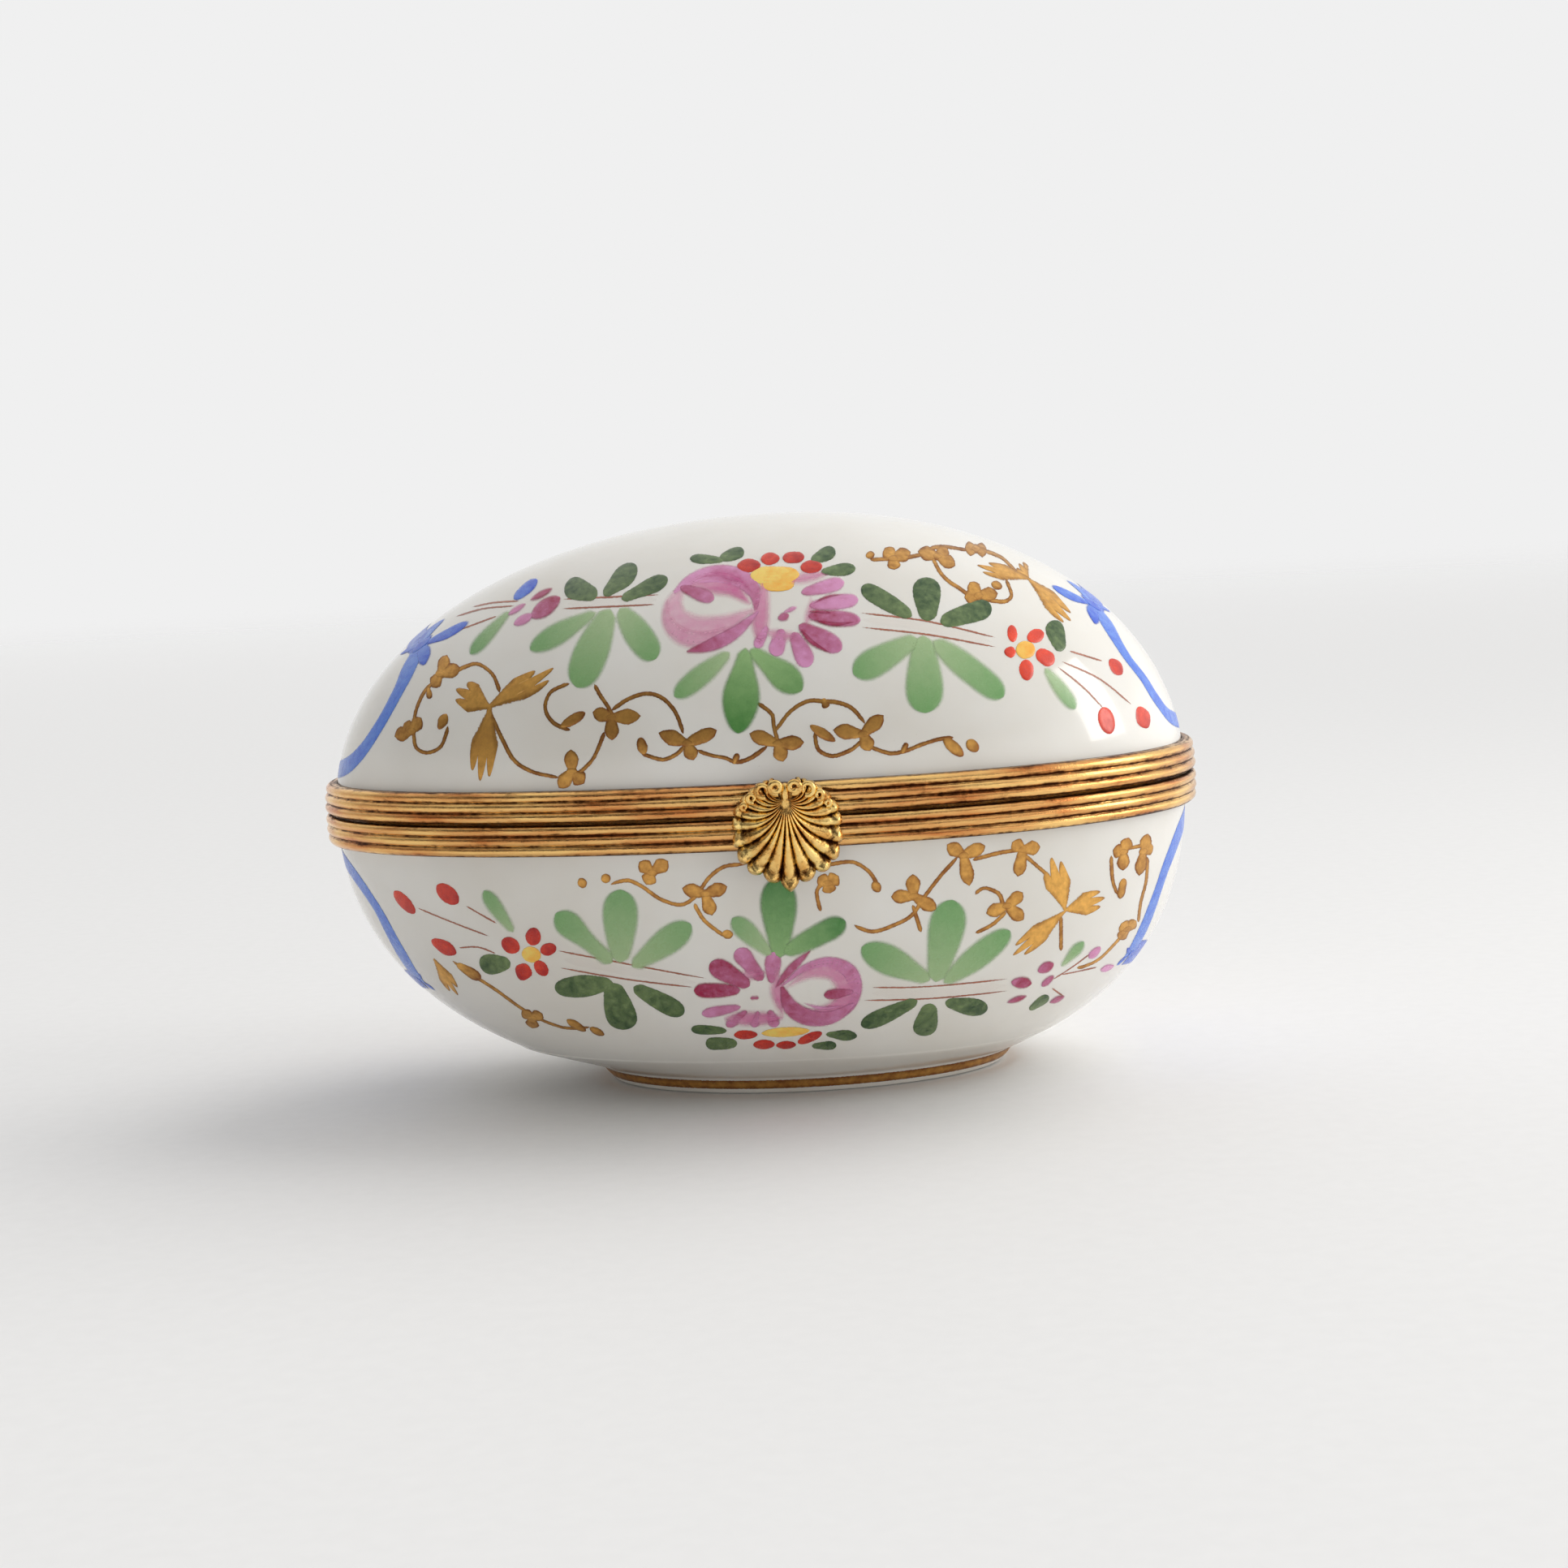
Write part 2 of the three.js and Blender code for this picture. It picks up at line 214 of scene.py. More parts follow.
def capped_faces(rows, columns):
    """Quads between closed rings, with a face over each end."""
    last = (rows - 1) * columns
    return list(grid_faces(rows, columns)) + [range(columns), range(last, last + columns)]


def tidy(piece, sharp_degrees=40.0):
    """Merges doubled points, turns faces outwards and keeps real edges sharp."""
    mesh = piece.data
    work = bmesh.new()
    work.from_mesh(mesh)
    bmesh.ops.remove_doubles(work, verts=work.verts, dist=1e-7)
    bmesh.ops.dissolve_degenerate(work, edges=work.edges, dist=1e-7)
    bmesh.ops.recalc_face_normals(work, faces=work.faces)
    work.to_mesh(mesh)
    work.free()
    mesh.set_sharp_from_angle(angle=math.radians(sharp_degrees))
    return piece


def loft(name, rings, closed=False, sharp_degrees=40.0, **attributes):
    """A skin over rings. Each attribute is a number, a row, a column or a whole grid of values."""
    rings = np.stack(rings)
    rows, columns = rings.shape[:2]
    faces = grid_faces(rows, columns, wrap_rows=closed)
    grids = {key: np.broadcast_to(values, (rows, columns)) for key, values in attributes.items()}
    return tidy(mesh_object(name, rings.reshape(-1, 3), faces, grids), sharp_degrees)


def curve_through(points, samples):
    """Catmull-Rom samples between points, which may be numbers, places or whole rings."""
    points = np.asarray(points, float)
    padded = np.concatenate([2 * points[:1] - points[1:2], points, 2 * points[-1:] - points[-2:-1]])
    steps = np.linspace(0, len(points) - 1, samples)
    index = np.minimum(steps.astype(int), len(points) - 2)
    t = (steps - index).reshape((-1,) + (1,) * (points.ndim - 1))
    a, b, c, d = (padded[index + k] for k in range(4))
    return 0.5 * (2 * b + (c - a) * t + (2 * a - 5 * b + 4 * c - d) * t**2 + (3 * b - a - 3 * c + d) * t**3)


def finish_piece(piece, body, slot, material, *nodes):
    """Gives a piece its look and its body; nodes are the CAD nodes that it stands for."""
    piece.data.materials.append(material)
    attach(piece, body)
    if nodes:
        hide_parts(*nodes)


# ---------------------------------------------------------------- shaders

class Nodes:
    """Short names for the nodes that a material or the world uses."""

    def __init__(self, tree):
        self.tree = tree

    def node(self, kind, inputs=None, **settings):
        made = self.tree.nodes.new(kind)
        for key, value in settings.items():
            setattr(made, key, value)
        for key, value in (inputs or {}).items():
            if isinstance(value, bpy.types.NodeSocket):
                self.tree.links.new(value, made.inputs[key])
            else:
                made.inputs[key].default_value = value
        return made

    def remap(self, value, low, high, to_low=0.0, to_high=1.0, smooth=False):
        inputs = {"Value": value, "From Min": low, "From Max": high, "To Min": to_low, "To Max": to_high}
        kind = "SMOOTHSTEP" if smooth else "LINEAR"
        return self.node("ShaderNodeMapRange", inputs, clamp=True, interpolation_type=kind).outputs[0]

    def mix(self, share, a, b):
        return self.node("ShaderNodeMix", {0: share, 6: a, 7: b}, data_type="RGBA").outputs[2]


class Shader(Nodes):
    """A Principled material."""

    def __init__(self, name, **constants):
        self.material = bpy.data.materials.new(name)
        self.material.use_nodes = True
        super().__init__(self.material.node_tree)
        self.principled = self.tree.nodes["Principled BSDF"]
        for key, value in constants.items():
            self.principled.inputs[key.replace("_", " ")].default_value = value
        self.place = self.node("ShaderNodeTexCoord").outputs["Object"]

    def noise(self, size, detail=4.0, place=None, roughness=0.5):
        """Noise with features of about size mm."""
        place = place or self.place
        inputs = {"Vector": place, "Scale": 1 / (size * MM), "Detail": detail, "Roughness": roughness}
        return self.node("ShaderNodeTexNoise", inputs).outputs["Fac"]

    def attribute(self, name):
        return self.node("ShaderNodeAttribute", attribute_name=name).outputs["Fac"]

    def add(self, a, b):
        return self.node("ShaderNodeMath", {0: a, 1: b}, operation="ADD").outputs[0]

    def times(self, a, b):
        return self.node("ShaderNodeMath", {0: a, 1: b}, operation="MULTIPLY").outputs[0]

    def bump(self, height, depth, onto=None):
        """height is 0 to 1, and depth what 1 stands for, in mm."""
        inputs = {"Height": height, "Strength": 1.0, "Distance": depth * MM}
        if onto:
            inputs["Normal"] = onto
        return self.node("ShaderNodeBump", inputs).outputs[0]

    def feed(self, **sockets):
        for key, value in sockets.items():
            self.tree.links.new(value, self.principled.inputs[key.replace("_", " ")])
        return self.material


def rgb(red, green, blue):
    """An sRGB colour of 0 to 255 as the linear colour that a socket takes."""
    shares = [value / 255 for value in (red, green, blue)]
    return (*(v / 12.92 if v <= 0.04 else ((v + 0.055) / 1.055) ** 2.4 for v in shares), 1.0)


def glaze_material():
    shader = Shader(
        "glaze", IOR=1.52, Coat_Weight=0.35, Coat_Roughness=0.04,
        Subsurface_Weight=0.08, Subsurface_Scale=1.2 * MM, Subsurface_Radius=(1.0, 0.85, 0.7),
    )
    clouds = shader.remap(shader.noise(16.0, 3.0), 0.35, 0.7)
    specks = shader.remap(shader.noise(0.35, 2.0), 0.74, 0.8)
    body = shader.mix(clouds, rgb(240, 238, 232), rgb(231, 227, 218))
    colour = shader.mix(shader.times(specks, 0.25), body, rgb(196, 188, 172))
    gloss = shader.remap(shader.noise(5.0, 3.0), 0.3, 0.7, 0.09, 0.17)
    ripple = shader.bump(shader.noise(3.5, 2.0), 0.012)
    return shader.feed(Base_Color=colour, Roughness=gloss, Normal=ripple)


def plaster_material():
    """Unglazed porcelain and plaster."""
    shader = Shader("plaster")
    grain = shader.noise(0.5, 5.0)
    colour = shader.mix(grain, rgb(238, 230, 214), rgb(214, 202, 180))
    rough = shader.remap(grain, 0.3, 0.7, 0.75, 0.95)
    return shader.feed(Base_Color=colour, Roughness=rough, Normal=shader.bump(grain, 0.03))


def metal_material(name, bright, worn, groove, rough, streak=True):
    """Brass or steel, bright on its crests and brown where 'hollow' is 1, which stands for tarnish and
    painted shade in hollows, on undersides and between parts. With streak, its wear is drawn out along
    'along'."""
    shader = Shader(name, Metallic=1.0)
    if streak:
        along, across = shader.attribute("along"), shader.attribute("across")
        drawn_out = shader.node("ShaderNodeCombineXYZ", {0: shader.times(along, 0.12), 1: across}).outputs[0]
        metres = {0: drawn_out, "Scale": MM}
        grain = shader.node("ShaderNodeVectorMath", metres, operation="SCALE").outputs[0]
        brushed = shader.noise(0.35, 6.0, place=grain, roughness=0.65)
        patches = shader.noise(1.5, 4.0, place=grain, roughness=0.6)
    else:
        brushed = shader.noise(0.3, 5.0, roughness=0.6)
        patches = shader.noise(1.8, 4.0)
    hollow = shader.attribute("hollow")
    wear = shader.mix(shader.remap(patches, 0.38, 0.66), rgb(*bright), rgb(*worn))
    streaked = shader.remap(brushed, 0.3, 0.7, -0.5, 0.4)
    grime = shader.add(streaked, shader.remap(patches, 0.3, 0.7, -0.25, 0.3))
    ragged = shader.remap(shader.noise(0.7, 4.0, roughness=0.6), 0.3, 0.7, -0.3, 0.3)
    # the 'hollow' darkness is tarnish together with painted shade; random grime and ragged patches are added
    # on top
    grime_and_shade = shader.add(shader.add(hollow, grime), ragged)
    colour = shader.mix(shader.remap(grime_and_shade, 0.15, 0.95), wear, rgb(*groove))
    gloss = shader.remap(grime_and_shade, 0.1, 1.0, rough, rough + 0.32)
    scratches = shader.bump(brushed, 0.05)
    pits = shader.bump(shader.noise(0.22, 3.0), 0.02, scratches)
    return shader.feed(Base_Color=colour, Roughness=gloss, Normal=pits)


def enamel_material(name, light, dark, fade, opacity, streaks, rough=0.2, metal=0.0, rim=0.0):
    """Painted enamel: 'tone' runs from light to dark, 'inset' is the distance to the border in mm, and rim
    is how much darker the border is."""
    coat = 0.1 if metal == 0 else 0.0
    shader = Shader(name, IOR=1.5, Metallic=metal, Coat_Weight=coat, Coat_Roughness=0.08)
    tone, inset = shader.attribute("tone"), shader.attribute("inset")
    strokes = shader.noise(0.9, 4.0, roughness=0.6)
    fine = shader.noise(0.25, 3.0)
    shaded = shader.add(tone, shader.remap(strokes, 0.25, 0.75, -streaks, streaks))
    shaded = shader.add(shaded, shader.remap(inset, 0.08, 0.35, rim, 0.0))
    colour = shader.mix(shader.remap(shaded, 0.0, 1.0), rgb(*light), rgb(*dark))
    ragged = shader.add(inset, shader.remap(fine, 0.3, 0.7, -0.03, 0.03))
    alpha = shader.remap(ragged, 0.0, fade, 0.0, opacity, smooth=True)
    gloss = shader.remap(strokes, 0.3, 0.7, rough, rough + 0.14)
    relief = shader.bump(strokes, 0.02)
    return shader.feed(Base_Color=colour, Alpha=alpha, Roughness=gloss, Normal=relief)


GLAZE = glaze_material()
PLASTER = plaster_material()
# colours where it is bright, where it is worn and in its grooves (tarnish and painted shade), and its
# roughness
GILT = metal_material("worn_and_shaded_gilt", (252, 206, 130), (210, 132, 74), (66, 31, 12), 0.15)
LINING = metal_material("lining_gilt", (246, 204, 128), (220, 156, 88), (120, 74, 36), 0.24)
SHELL_GILT = metal_material("shell_gilt", (255, 220, 140), (230, 172, 92), (82, 46, 18), 0.14, streak=False)
PLATE_GILT = metal_material("plate_gilt", (250, 208, 130), (216, 148, 80), (96, 56, 26), 0.22, streak=False)
STEEL = metal_material("pin_steel", (214, 208, 198), (170, 160, 146), (70, 58, 46), 0.3, streak=False)

PIGMENT_TABLE = [
    # name, light, dark, the width in mm of its fading border, opacity, streaks; then roughness, metal, rim
    ("stem_band", (252, 232, 222), (246, 214, 202), 0.3, 0.07, 0.0),
    ("leaf_pale", (186, 212, 160), (118, 176, 104), 0.7, 0.85, 0.1),
    ("leaf_mid", (158, 198, 132), (54, 128, 50), 0.7, 0.95, 0.12),
    ("leaf_dark", (126, 148, 94), (44, 76, 34), 0.12, 1.0, 0.45),
    ("pink_wash", (250, 204, 222), (218, 88, 160), 1.1, 0.8, 0.2),
    ("pink", (232, 158, 206), (164, 12, 70), 0.42, 0.93, 0.28),
    ("red", (246, 76, 44), (176, 18, 12), 0.1, 1.0, 0.35),
    ("yellow", (255, 222, 112), (252, 172, 44), 0.14, 1.0, 0.4),
    ("blue", (112, 160, 242), (24, 80, 212), 0.25, 0.97, 0.3),
    ("stem", (200, 128, 100), (142, 74, 54), 0.07, 0.9, 0.3),
    ("gold", (250, 192, 100), (146, 92, 48), 0.1, 1.0, 0.3, 0.28, 0.75, 0.4),
]
PIGMENTS = {name: enamel_material(name, *values) for name, *values in PIGMENT_TABLE}


# ---------------------------------------------------------------- porcelain and metal

def lid_shell():
    outside = dome(1, LID_RISE, LID_FULLNESS, 0.03, 1.0, 52)
    inside = dome(1, LID_INSIDE[0], LID_INSIDE[1], 0.05, 1.0, 40, -WALL)
    rim = [ring(RIM, -WALL), glaze_ring(RIM)]
    piece = loft("lid_shell", inside[::-1] + rim + outside)
    finish_piece(piece, "lid", "porcelain", GLAZE, "lid_porcelain")


def foot_ring(reach, height):
    """An oval of half length reach, at a height above the floor."""
    x, y = reach * np.cos(ANGLES), reach * FOOT_ASPECT * np.sin(ANGLES)
    return np.column_stack([FOOT_CENTRE + x, y, np.full(AROUND, height - SEAM_HEIGHT)])


def base_profile():
    """Rings from the rim down the outside to the resting face."""
    body = dome(-1, BASE_DROP, base_fullness, 0.03, 0.6, 30)
    return curve_through(np.stack(body + [foot_ring(*step) for step in FOOT_PROFILE]), 150)


def base_shell():
    inside = dome(-1, BASE_INSIDE[0], BASE_INSIDE[1], 0.06, 1.0, 40, -WALL)
    rim = [ring(-RIM, -WALL), glaze_ring(-RIM)]
    under = [foot_ring(*step) for step in FOOT_INSIDE]
    piece = loft("base_shell", under[::-1] + list(base_profile())[::-1] + rim[::-1] + inside)
    finish_piece(piece, "base", "porcelain", GLAZE, "base_porcelain")


def foot_line():
    """The gilt line, painted round the foot's neck."""
    profile = base_profile()
    profile = profile[profile[:, 0, 2] + SEAM_HEIGHT < FOOT_NECK]
    heights = profile[:, 0, 2] + SEAM_HEIGHT
    lifts = (-0.01, 0.03, 0.04, 0.04, 0.04, 0.03, -0.01)
    steps = np.linspace(FOOT_LINE[1], FOOT_LINE[0], len(lifts))
    marks = np.interp(steps, heights[::-1], np.arange(len(profile))[::-1])
    outwards = np.column_stack([np.cos(ANGLES), np.sin(ANGLES), np.zeros(AROUND)])
    rows = []
    for mark, lift in zip(marks, lifts):
        low = int(mark)
        high = min(low + 1, len(profile) - 1)
        rows.append(profile[low] + (profile[high] - profile[low]) * (mark - low) + outwards * lift)
    inset = np.array([0.0, 0.15, 0.3, 0.4, 0.3, 0.15, 0.0])
    piece = loft("foot_gilt_line", rows, inset=inset[:, None], tone=0.6)
    finish_piece(piece, "base", "gilt_brass", PIGMENTS["gold"])


def reed_profile(sign):
    """Offset, height, hollowness and underside of the bezel's outside, from the seam to its free edge.
    Hollowness darkens the grooves with tarnish and painted shade, and underside marks each reed's downward
    side for painted shade.
    """
    points = [(REED_VALLEY - 0.25, SEAM_GAP / 2, 1.0, 0.0)]
    for reed in range(REED_COUNT):
        start = SEAM_GAP / 2 + reed * REED_PITCH
        lean = 0.14 * (reed == REED_COUNT - 1)  # the last reed falls away towards the porcelain
        for t in np.linspace(0.03, 0.97, 11):
            arch = math.sin(math.pi * t) ** 0.5
            offset = REED_VALLEY + (REED_CREST - REED_VALLEY) * arch - lean * t
            down = t if sign < 0 else 1 - t
            points.append((offset, start + t * REED_PITCH, 1.2 - 1.5 * arch, max(0.0, down - 0.42) / 0.58))
    points.append((0.6, BEZEL_HEIGHT - 0.02, 0.5, 0.0))
    points.append((0.08, BEZEL_HEIGHT, 1.0, 0.0))
    return points


def bezel(name, sign, lip_inside, node):
    """sign is 1 for the lid's bezel and -1 for the base's."""
    shelf = SEAM_GAP / 2 + 0.6
    # the third value darkens the inner faces under the porcelain's rim: painted shade between parts
    inner = [
        (0.1, shelf, 1.0), (-WALL - 0.1, shelf, 1.0), (-WALL - 0.1, 2.2, 0.6),
        (lip_inside, 2.2, 0.3), (lip_inside, SEAM_GAP / 2 + 0.05, 0.3),
        (lip_inside + 0.05, SEAM_GAP / 2, 0.2), (-0.5, SEAM_GAP / 2, 0.25),
        (REED_VALLEY - 0.4, SEAM_GAP / 2, 0.5),
    ]
    section = reed_profile(sign) + [(*step, 0.0) for step in inner]
    offset, height, hollow, under = np.array(section).T
    wobble = 0.02 * np.sin(9 * ANGLES + sign) + 0.015 * np.sin(23 * ANGLES + 2 * sign)
    rings = [glaze_ring(sign * z, d + wobble * (d > 0.5)) for d, z in zip(offset, height)]
    across = np.concatenate([[0], np.hypot(np.diff(offset), np.diff(height)).cumsum()]) + 40 * sign
    # painted shade on each reed's downward side, stronger towards the blunt end
    underside_shade = 0.5 + 0.35 * np.cos(ANGLES) + 0.12 * np.sin(5 * ANGLES + sign)  # more of it towards the blunt end
    piece = loft(
        name, rings, closed=True, sharp_degrees=60.0, along=np.linspace(0, GRAIN_LENGTH, AROUND),
        across=across[:, None], hollow=hollow[:, None] + under[:, None] * underside_shade,
    )
    finish_piece(piece, "lid" if sign > 0 else "base", "gilt_brass", GILT, node)


def collar():
    """The upright strip inside the base's bezel that centres the lid."""
    inside = COLLAR_OUTSIDE - 0.4
    section = [
        (COLLAR_OUTSIDE, -2.2), (COLLAR_OUTSIDE, 0.0), (COLLAR_OUTSIDE, 1.5), (COLLAR_OUTSIDE - 0.06, 1.7),
        (COLLAR_OUTSIDE - 0.2, 1.8), (inside + 0.06, 1.76), (inside, 1.6), (inside, 0.0), (inside, -2.2),
    ]
    rings = [ring(z, d) for d, z in section]
    heights = np.array(section)[:, 1]
    along = np.linspace(0, GRAIN_LENGTH, AROUND)
    piece = loft("collar_band", rings, closed=True, along=along, across=heights[:, None], hollow=0.15)
    finish_piece(piece, "base", "gilt_brass", LINING, "locating_collar")


def turned(name, profile, x, body, slot, material, *nodes):
    """A closed profile of (radius, x) turned round the hinge line."""
    count = 48
    turn = 2 * math.pi * np.arange(count) / count
    rings = [
        np.column_stack([np.full(count, x + along), HINGE_Y + r * np.cos(turn), r * np.sin(turn)])
        for r, along in profile
    ]
    radii, ways = np.array(profile).T[:, :, None]
    # painted shade: the bore and the end faces, where the knuckles meet, are darker than the outside
    hollow = np.where(radii > 0.9 * BARREL_RADIUS, 0.15, 0.8)
    grain = turn * BARREL_RADIUS * 8
    piece = loft(name, rings, closed=True, along=grain, across=ways + x, hollow=hollow)
    finish_piece(piece, body, slot, material, *nodes)


def seam_box(node):
    """A CAD node's lowest and highest corner in the seam frame, in mm."""
    return [np.array(corner) / MM - (CLASP_X, 0, SEAM_HEIGHT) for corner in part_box(node)]


def knuckles():
    edge = 0.14
    bore, middle, outside = BORE_RADIUS, BARREL_RADIUS - edge / 3, BARREL_RADIUS
    for node in sorted(name for name in frame["nodes"] if "knuckle" in name):
        low, high = seam_box(node)
        half = (high[0] - low[0]) / 2
        profile = [
            (bore, -half), (outside - edge, -half), (middle, -half + edge / 3), (outside, -half + edge),
            (outside, 0),
            (outside, half - edge), (middle, half - edge / 3), (outside - edge, half), (bore, half),
        ]
        name = node.replace("knuckle", "barrel")
        turned(name, profile, (low[0] + high[0]) / 2, node.split("_")[0], "gilt_brass", GILT, node)


def hinge_wire():
    low, high = seam_box("hinge_pin")
    half, r, nose = (high[0] - low[0]) / 2, PIN_RADIUS, PIN_RADIUS * 0.6
    profile = [(0.0, -half), (nose, -half), (r, -half + 0.2), (r, half - 0.2), (nose, half), (0.0, half)]
    turned("hinge_wire", profile, (low[0] + high[0]) / 2, "base", "steel", STEEL, "hinge_pin")


def leaf_plates():
    """The flat brass leaves that carry the knuckles, with softened edges."""
    for node, sign in (("lid_hinge_leaf", 1), ("base_hinge_leaf", -1)):
        low, high = seam_box(node)
        half = (high[0] - low[0]) / 2
        outside, near, far = high[1], SEAM_GAP / 2, max(abs(low[2]), abs(high[2]))
        ends = [-half, -half + SOFT_EDGE]
        rings = []
        for x in (*ends, *np.linspace(-half + 1, half - 1, 21), -ends[1], -ends[0]):
            share = (1 - (abs(x) / MEAN_LENGTH) ** PLAN_FULLNESS) ** (1 / PLAN_FULLNESS)
            inside = HALF_WIDTH * share + REED_CREST + 0.1
            trim = SOFT_EDGE if abs(x) > half - SOFT_EDGE / 2 else 0.0
            out, top = outside - trim, far - trim
            section = [
                (inside, near), (out - SOFT_EDGE, near), (out, near + SOFT_EDGE), (out, top - 0.5),
                (out - 0.1, top - 0.25), (out - 0.35, top - 0.05), (out - 0.5, top), (inside, top),
            ]
            rings.append([(x, y, sign * z) for y, z in section])
        # painted shade: darkest on the inside faces next to the bezel and at the seam edge
        hollow = np.tile([0.8, 0.4, 0.15, 0.1, 0.05, 0.1, 0.3, 0.9], len(rings))
        faces = capped_faces(len(rings), len(section))
        points = np.reshape(rings, (-1, 3))
        piece = mesh_object(node.replace("leaf", "plate"), points, faces, {"hollow": hollow})
        finish_piece(tidy(piece, 50.0), node.split("_")[0], "gilt_brass", PLATE_GILT, node)


def cushion(name, node, corner, body):
    """An upright brass plate with round corners and softened edges, in the place of a flat node."""
    low, high = seam_box(node)
    half_width, _, half_height = (high - low) / 2
    centre = (low + high) / 2 * (1, 0, 1)
    front, back, edge, count = low[1], high[1], 0.08, 64
    turn = 2 * math.pi * (np.arange(count) + 0.5) / count
    rings = []
    for trim, y in ((edge, back), (0, back - edge), (0, front + edge), (edge, front)):
        r = corner - trim
        x = (half_width - corner) * np.sign(np.cos(turn)) + r * np.cos(turn)
        z = (half_height - corner) * np.sign(np.sin(turn)) + r * np.sin(turn)
        rings.append(np.column_stack([x, np.full(count, y), z]) + centre)
    points = np.reshape(rings, (-1, 3))
    piece = mesh_object(name, points, capped_faces(len(rings), count), {"hollow": np.full(len(points), 0.1)})
    finish_piece(tidy(piece), body, "gilt_brass", PLATE_GILT, node)


def clasp_workings():
    """The plate soldered to the lid's bezel, the springy tongue and the stud that it snaps over."""
    cushion("mount_plate", "clasp_mount_plate", 0.6, "lid")
    cushion("spring_tongue", "clasp_spring_tongue", 0.8, "clasp")
    low, high = seam_box("catch_stud")
    radius, height = (high[0] - low[0]) / 2, high[1] - low[1]
    centre = (low + high) / 2 * (1, 0, 1) + (0, high[1], 0)
    count = 32
    turn = 2 * math.pi * np.arange(count) / count
    profile = [(0.001, 0), (radius, 0)]
    profile += [(radius * math.cos(t) ** 0.6, height * math.sin(t)) for t in np.linspace(0.1, math.pi / 2, 9)]
    rings = [
        np.column_stack([r * np.cos(turn), np.full(count, -up), r * np.sin(turn)]) + centre
        for r, up in profile
    ]
    finish_piece(loft("snap_stud", rings, hollow=0.05), "base", "gilt_brass", PLATE_GILT, "catch_stud")


def beddings():
    """The thin plaster seats between the porcelain rims and the bezels."""
    low, high = SEAM_GAP / 2 + 0.65, RIM - 0.05
    section = [(-0.1, low), (-0.1, high), (-WALL + 0.05, high), (-WALL + 0.05, low)]
    for body, sign in (("lid", 1), ("base", -1)):
        seat = loft(f"{body}_seat", [glaze_ring(sign * z, d) for d, z in section], closed=True)
        finish_piece(seat, body, "plaster", PLASTER, f"{body}_plaster_bedding")


# ---------------------------------------------------------------- the shell clasp

SHELL_Y = -(HALF_WIDTH + SHELL_BACK)  # of its flat back
SHELL_UMBO = (0.1, 2.2)
SHELL_LOBES = 23
LOBE_POINTS = 12
SHELL_EDGE = 0.4  # its thickness at the margin
SHELL_CROWN = 1.45  # how much further the umbo stands out
TROUGH_AT, BEAD_AT = 0.88, 0.95  # shares of the way from the umbo to the margin
FAN_REACH = [
    (0, 10.0), (7, 9.5), (20, 9.3), (30, 9.0), (40, 8.2), (51, 7.6), (60, 6.9), (70, 6.2),
    (82, 5.3), (95, 4.5), (108, 3.7), (125, 3.0), (150, 2.4),
]  # degrees from straight down, and the distance from the umbo to the margin
FAN_HALF_ANGLE = math.radians(150)


def shell_fan():
    """The shell's ribbed front, a fan from the umbo (t = 0) to the margin (t = 1), and its flat back."""
    columns = SHELL_LOBES * LOBE_POINTS + 1
    rows = 40
    u = np.linspace(-1, 1, columns)
    fan = u * FAN_HALF_ANGLE
    degrees, reach = np.array(FAN_REACH, float).T
    margin = np.interp(np.abs(np.degrees(fan)), degrees, reach)
    lobe = np.abs(np.cos(u * SHELL_LOBES * math.pi / 2))
    broad = 0.5 + 0.5 * np.cos(u * SHELL_LOBES * math.pi / 3)  # every third rib ends further out
    margin = margin * (1 - 0.07 * (1 - lobe**0.7) - 0.04 * (1 - broad))
    t = np.linspace(0.0, 1.0, rows)[:, None]
    bend = fan * (0.4 + 0.6 * t**1.2)  # ribs leave the umbo downwards and curl out to the sides
    x = SHELL_UMBO[0] + margin * t * np.sin(bend)
    z = SHELL_UMBO[1] - margin * t * np.cos(bend)
    rib = (lobe**0.7 - 0.6) * np.clip((t - 0.1) / 0.25, 0, 1) * (0.34 + 0.12 * broad)
    bead = 0.34 * np.exp(-(((t - BEAD_AT) / 0.035) ** 2)) * lobe**1.5
    trough = -0.16 * np.exp(-(((t - TROUGH_AT) / 0.025) ** 2))
    height = SHELL_EDGE + SHELL_CROWN * (1 - t**2.2) ** 0.8 + rib + bead + trough
    height = np.where(t > 0.985, SHELL_EDGE, height)
    front = np.stack([x, SHELL_Y - height, z], -1)
    back = np.stack([x[-1:], np.full((1, columns), SHELL_Y), z[-1:]], -1)
    centre = np.broadcast_to((SHELL_UMBO[0], SHELL_Y, SHELL_UMBO[1]), (1, columns, 3))
    points = np.concatenate([front, back, centre]).reshape(-1, 3)
    # tarnish and painted shade: darker in the grooves between ribs, in the trough inside the margin and round
    # the umbo, and darkest on the flat back against the porcelain
    hollow = np.clip(0.95 - lobe * 1.3, 0, 1) * np.clip((t - 0.1) / 0.2, 0, 1)
    for at, wide, deep in ((TROUGH_AT, 0.03, 0.6), (0.16, 0.05, 0.5)):
        hollow = hollow + deep * np.exp(-(((t - at) / wide) ** 2))
    hollow = np.concatenate([hollow, np.ones((2, columns))])
    faces = grid_faces(rows + 2, columns, wrap_columns=False)
    sides = [[r * columns + c for r in range(rows + 2)] for c in (0, columns - 1)]
    return points, list(faces) + sides, hollow.ravel()


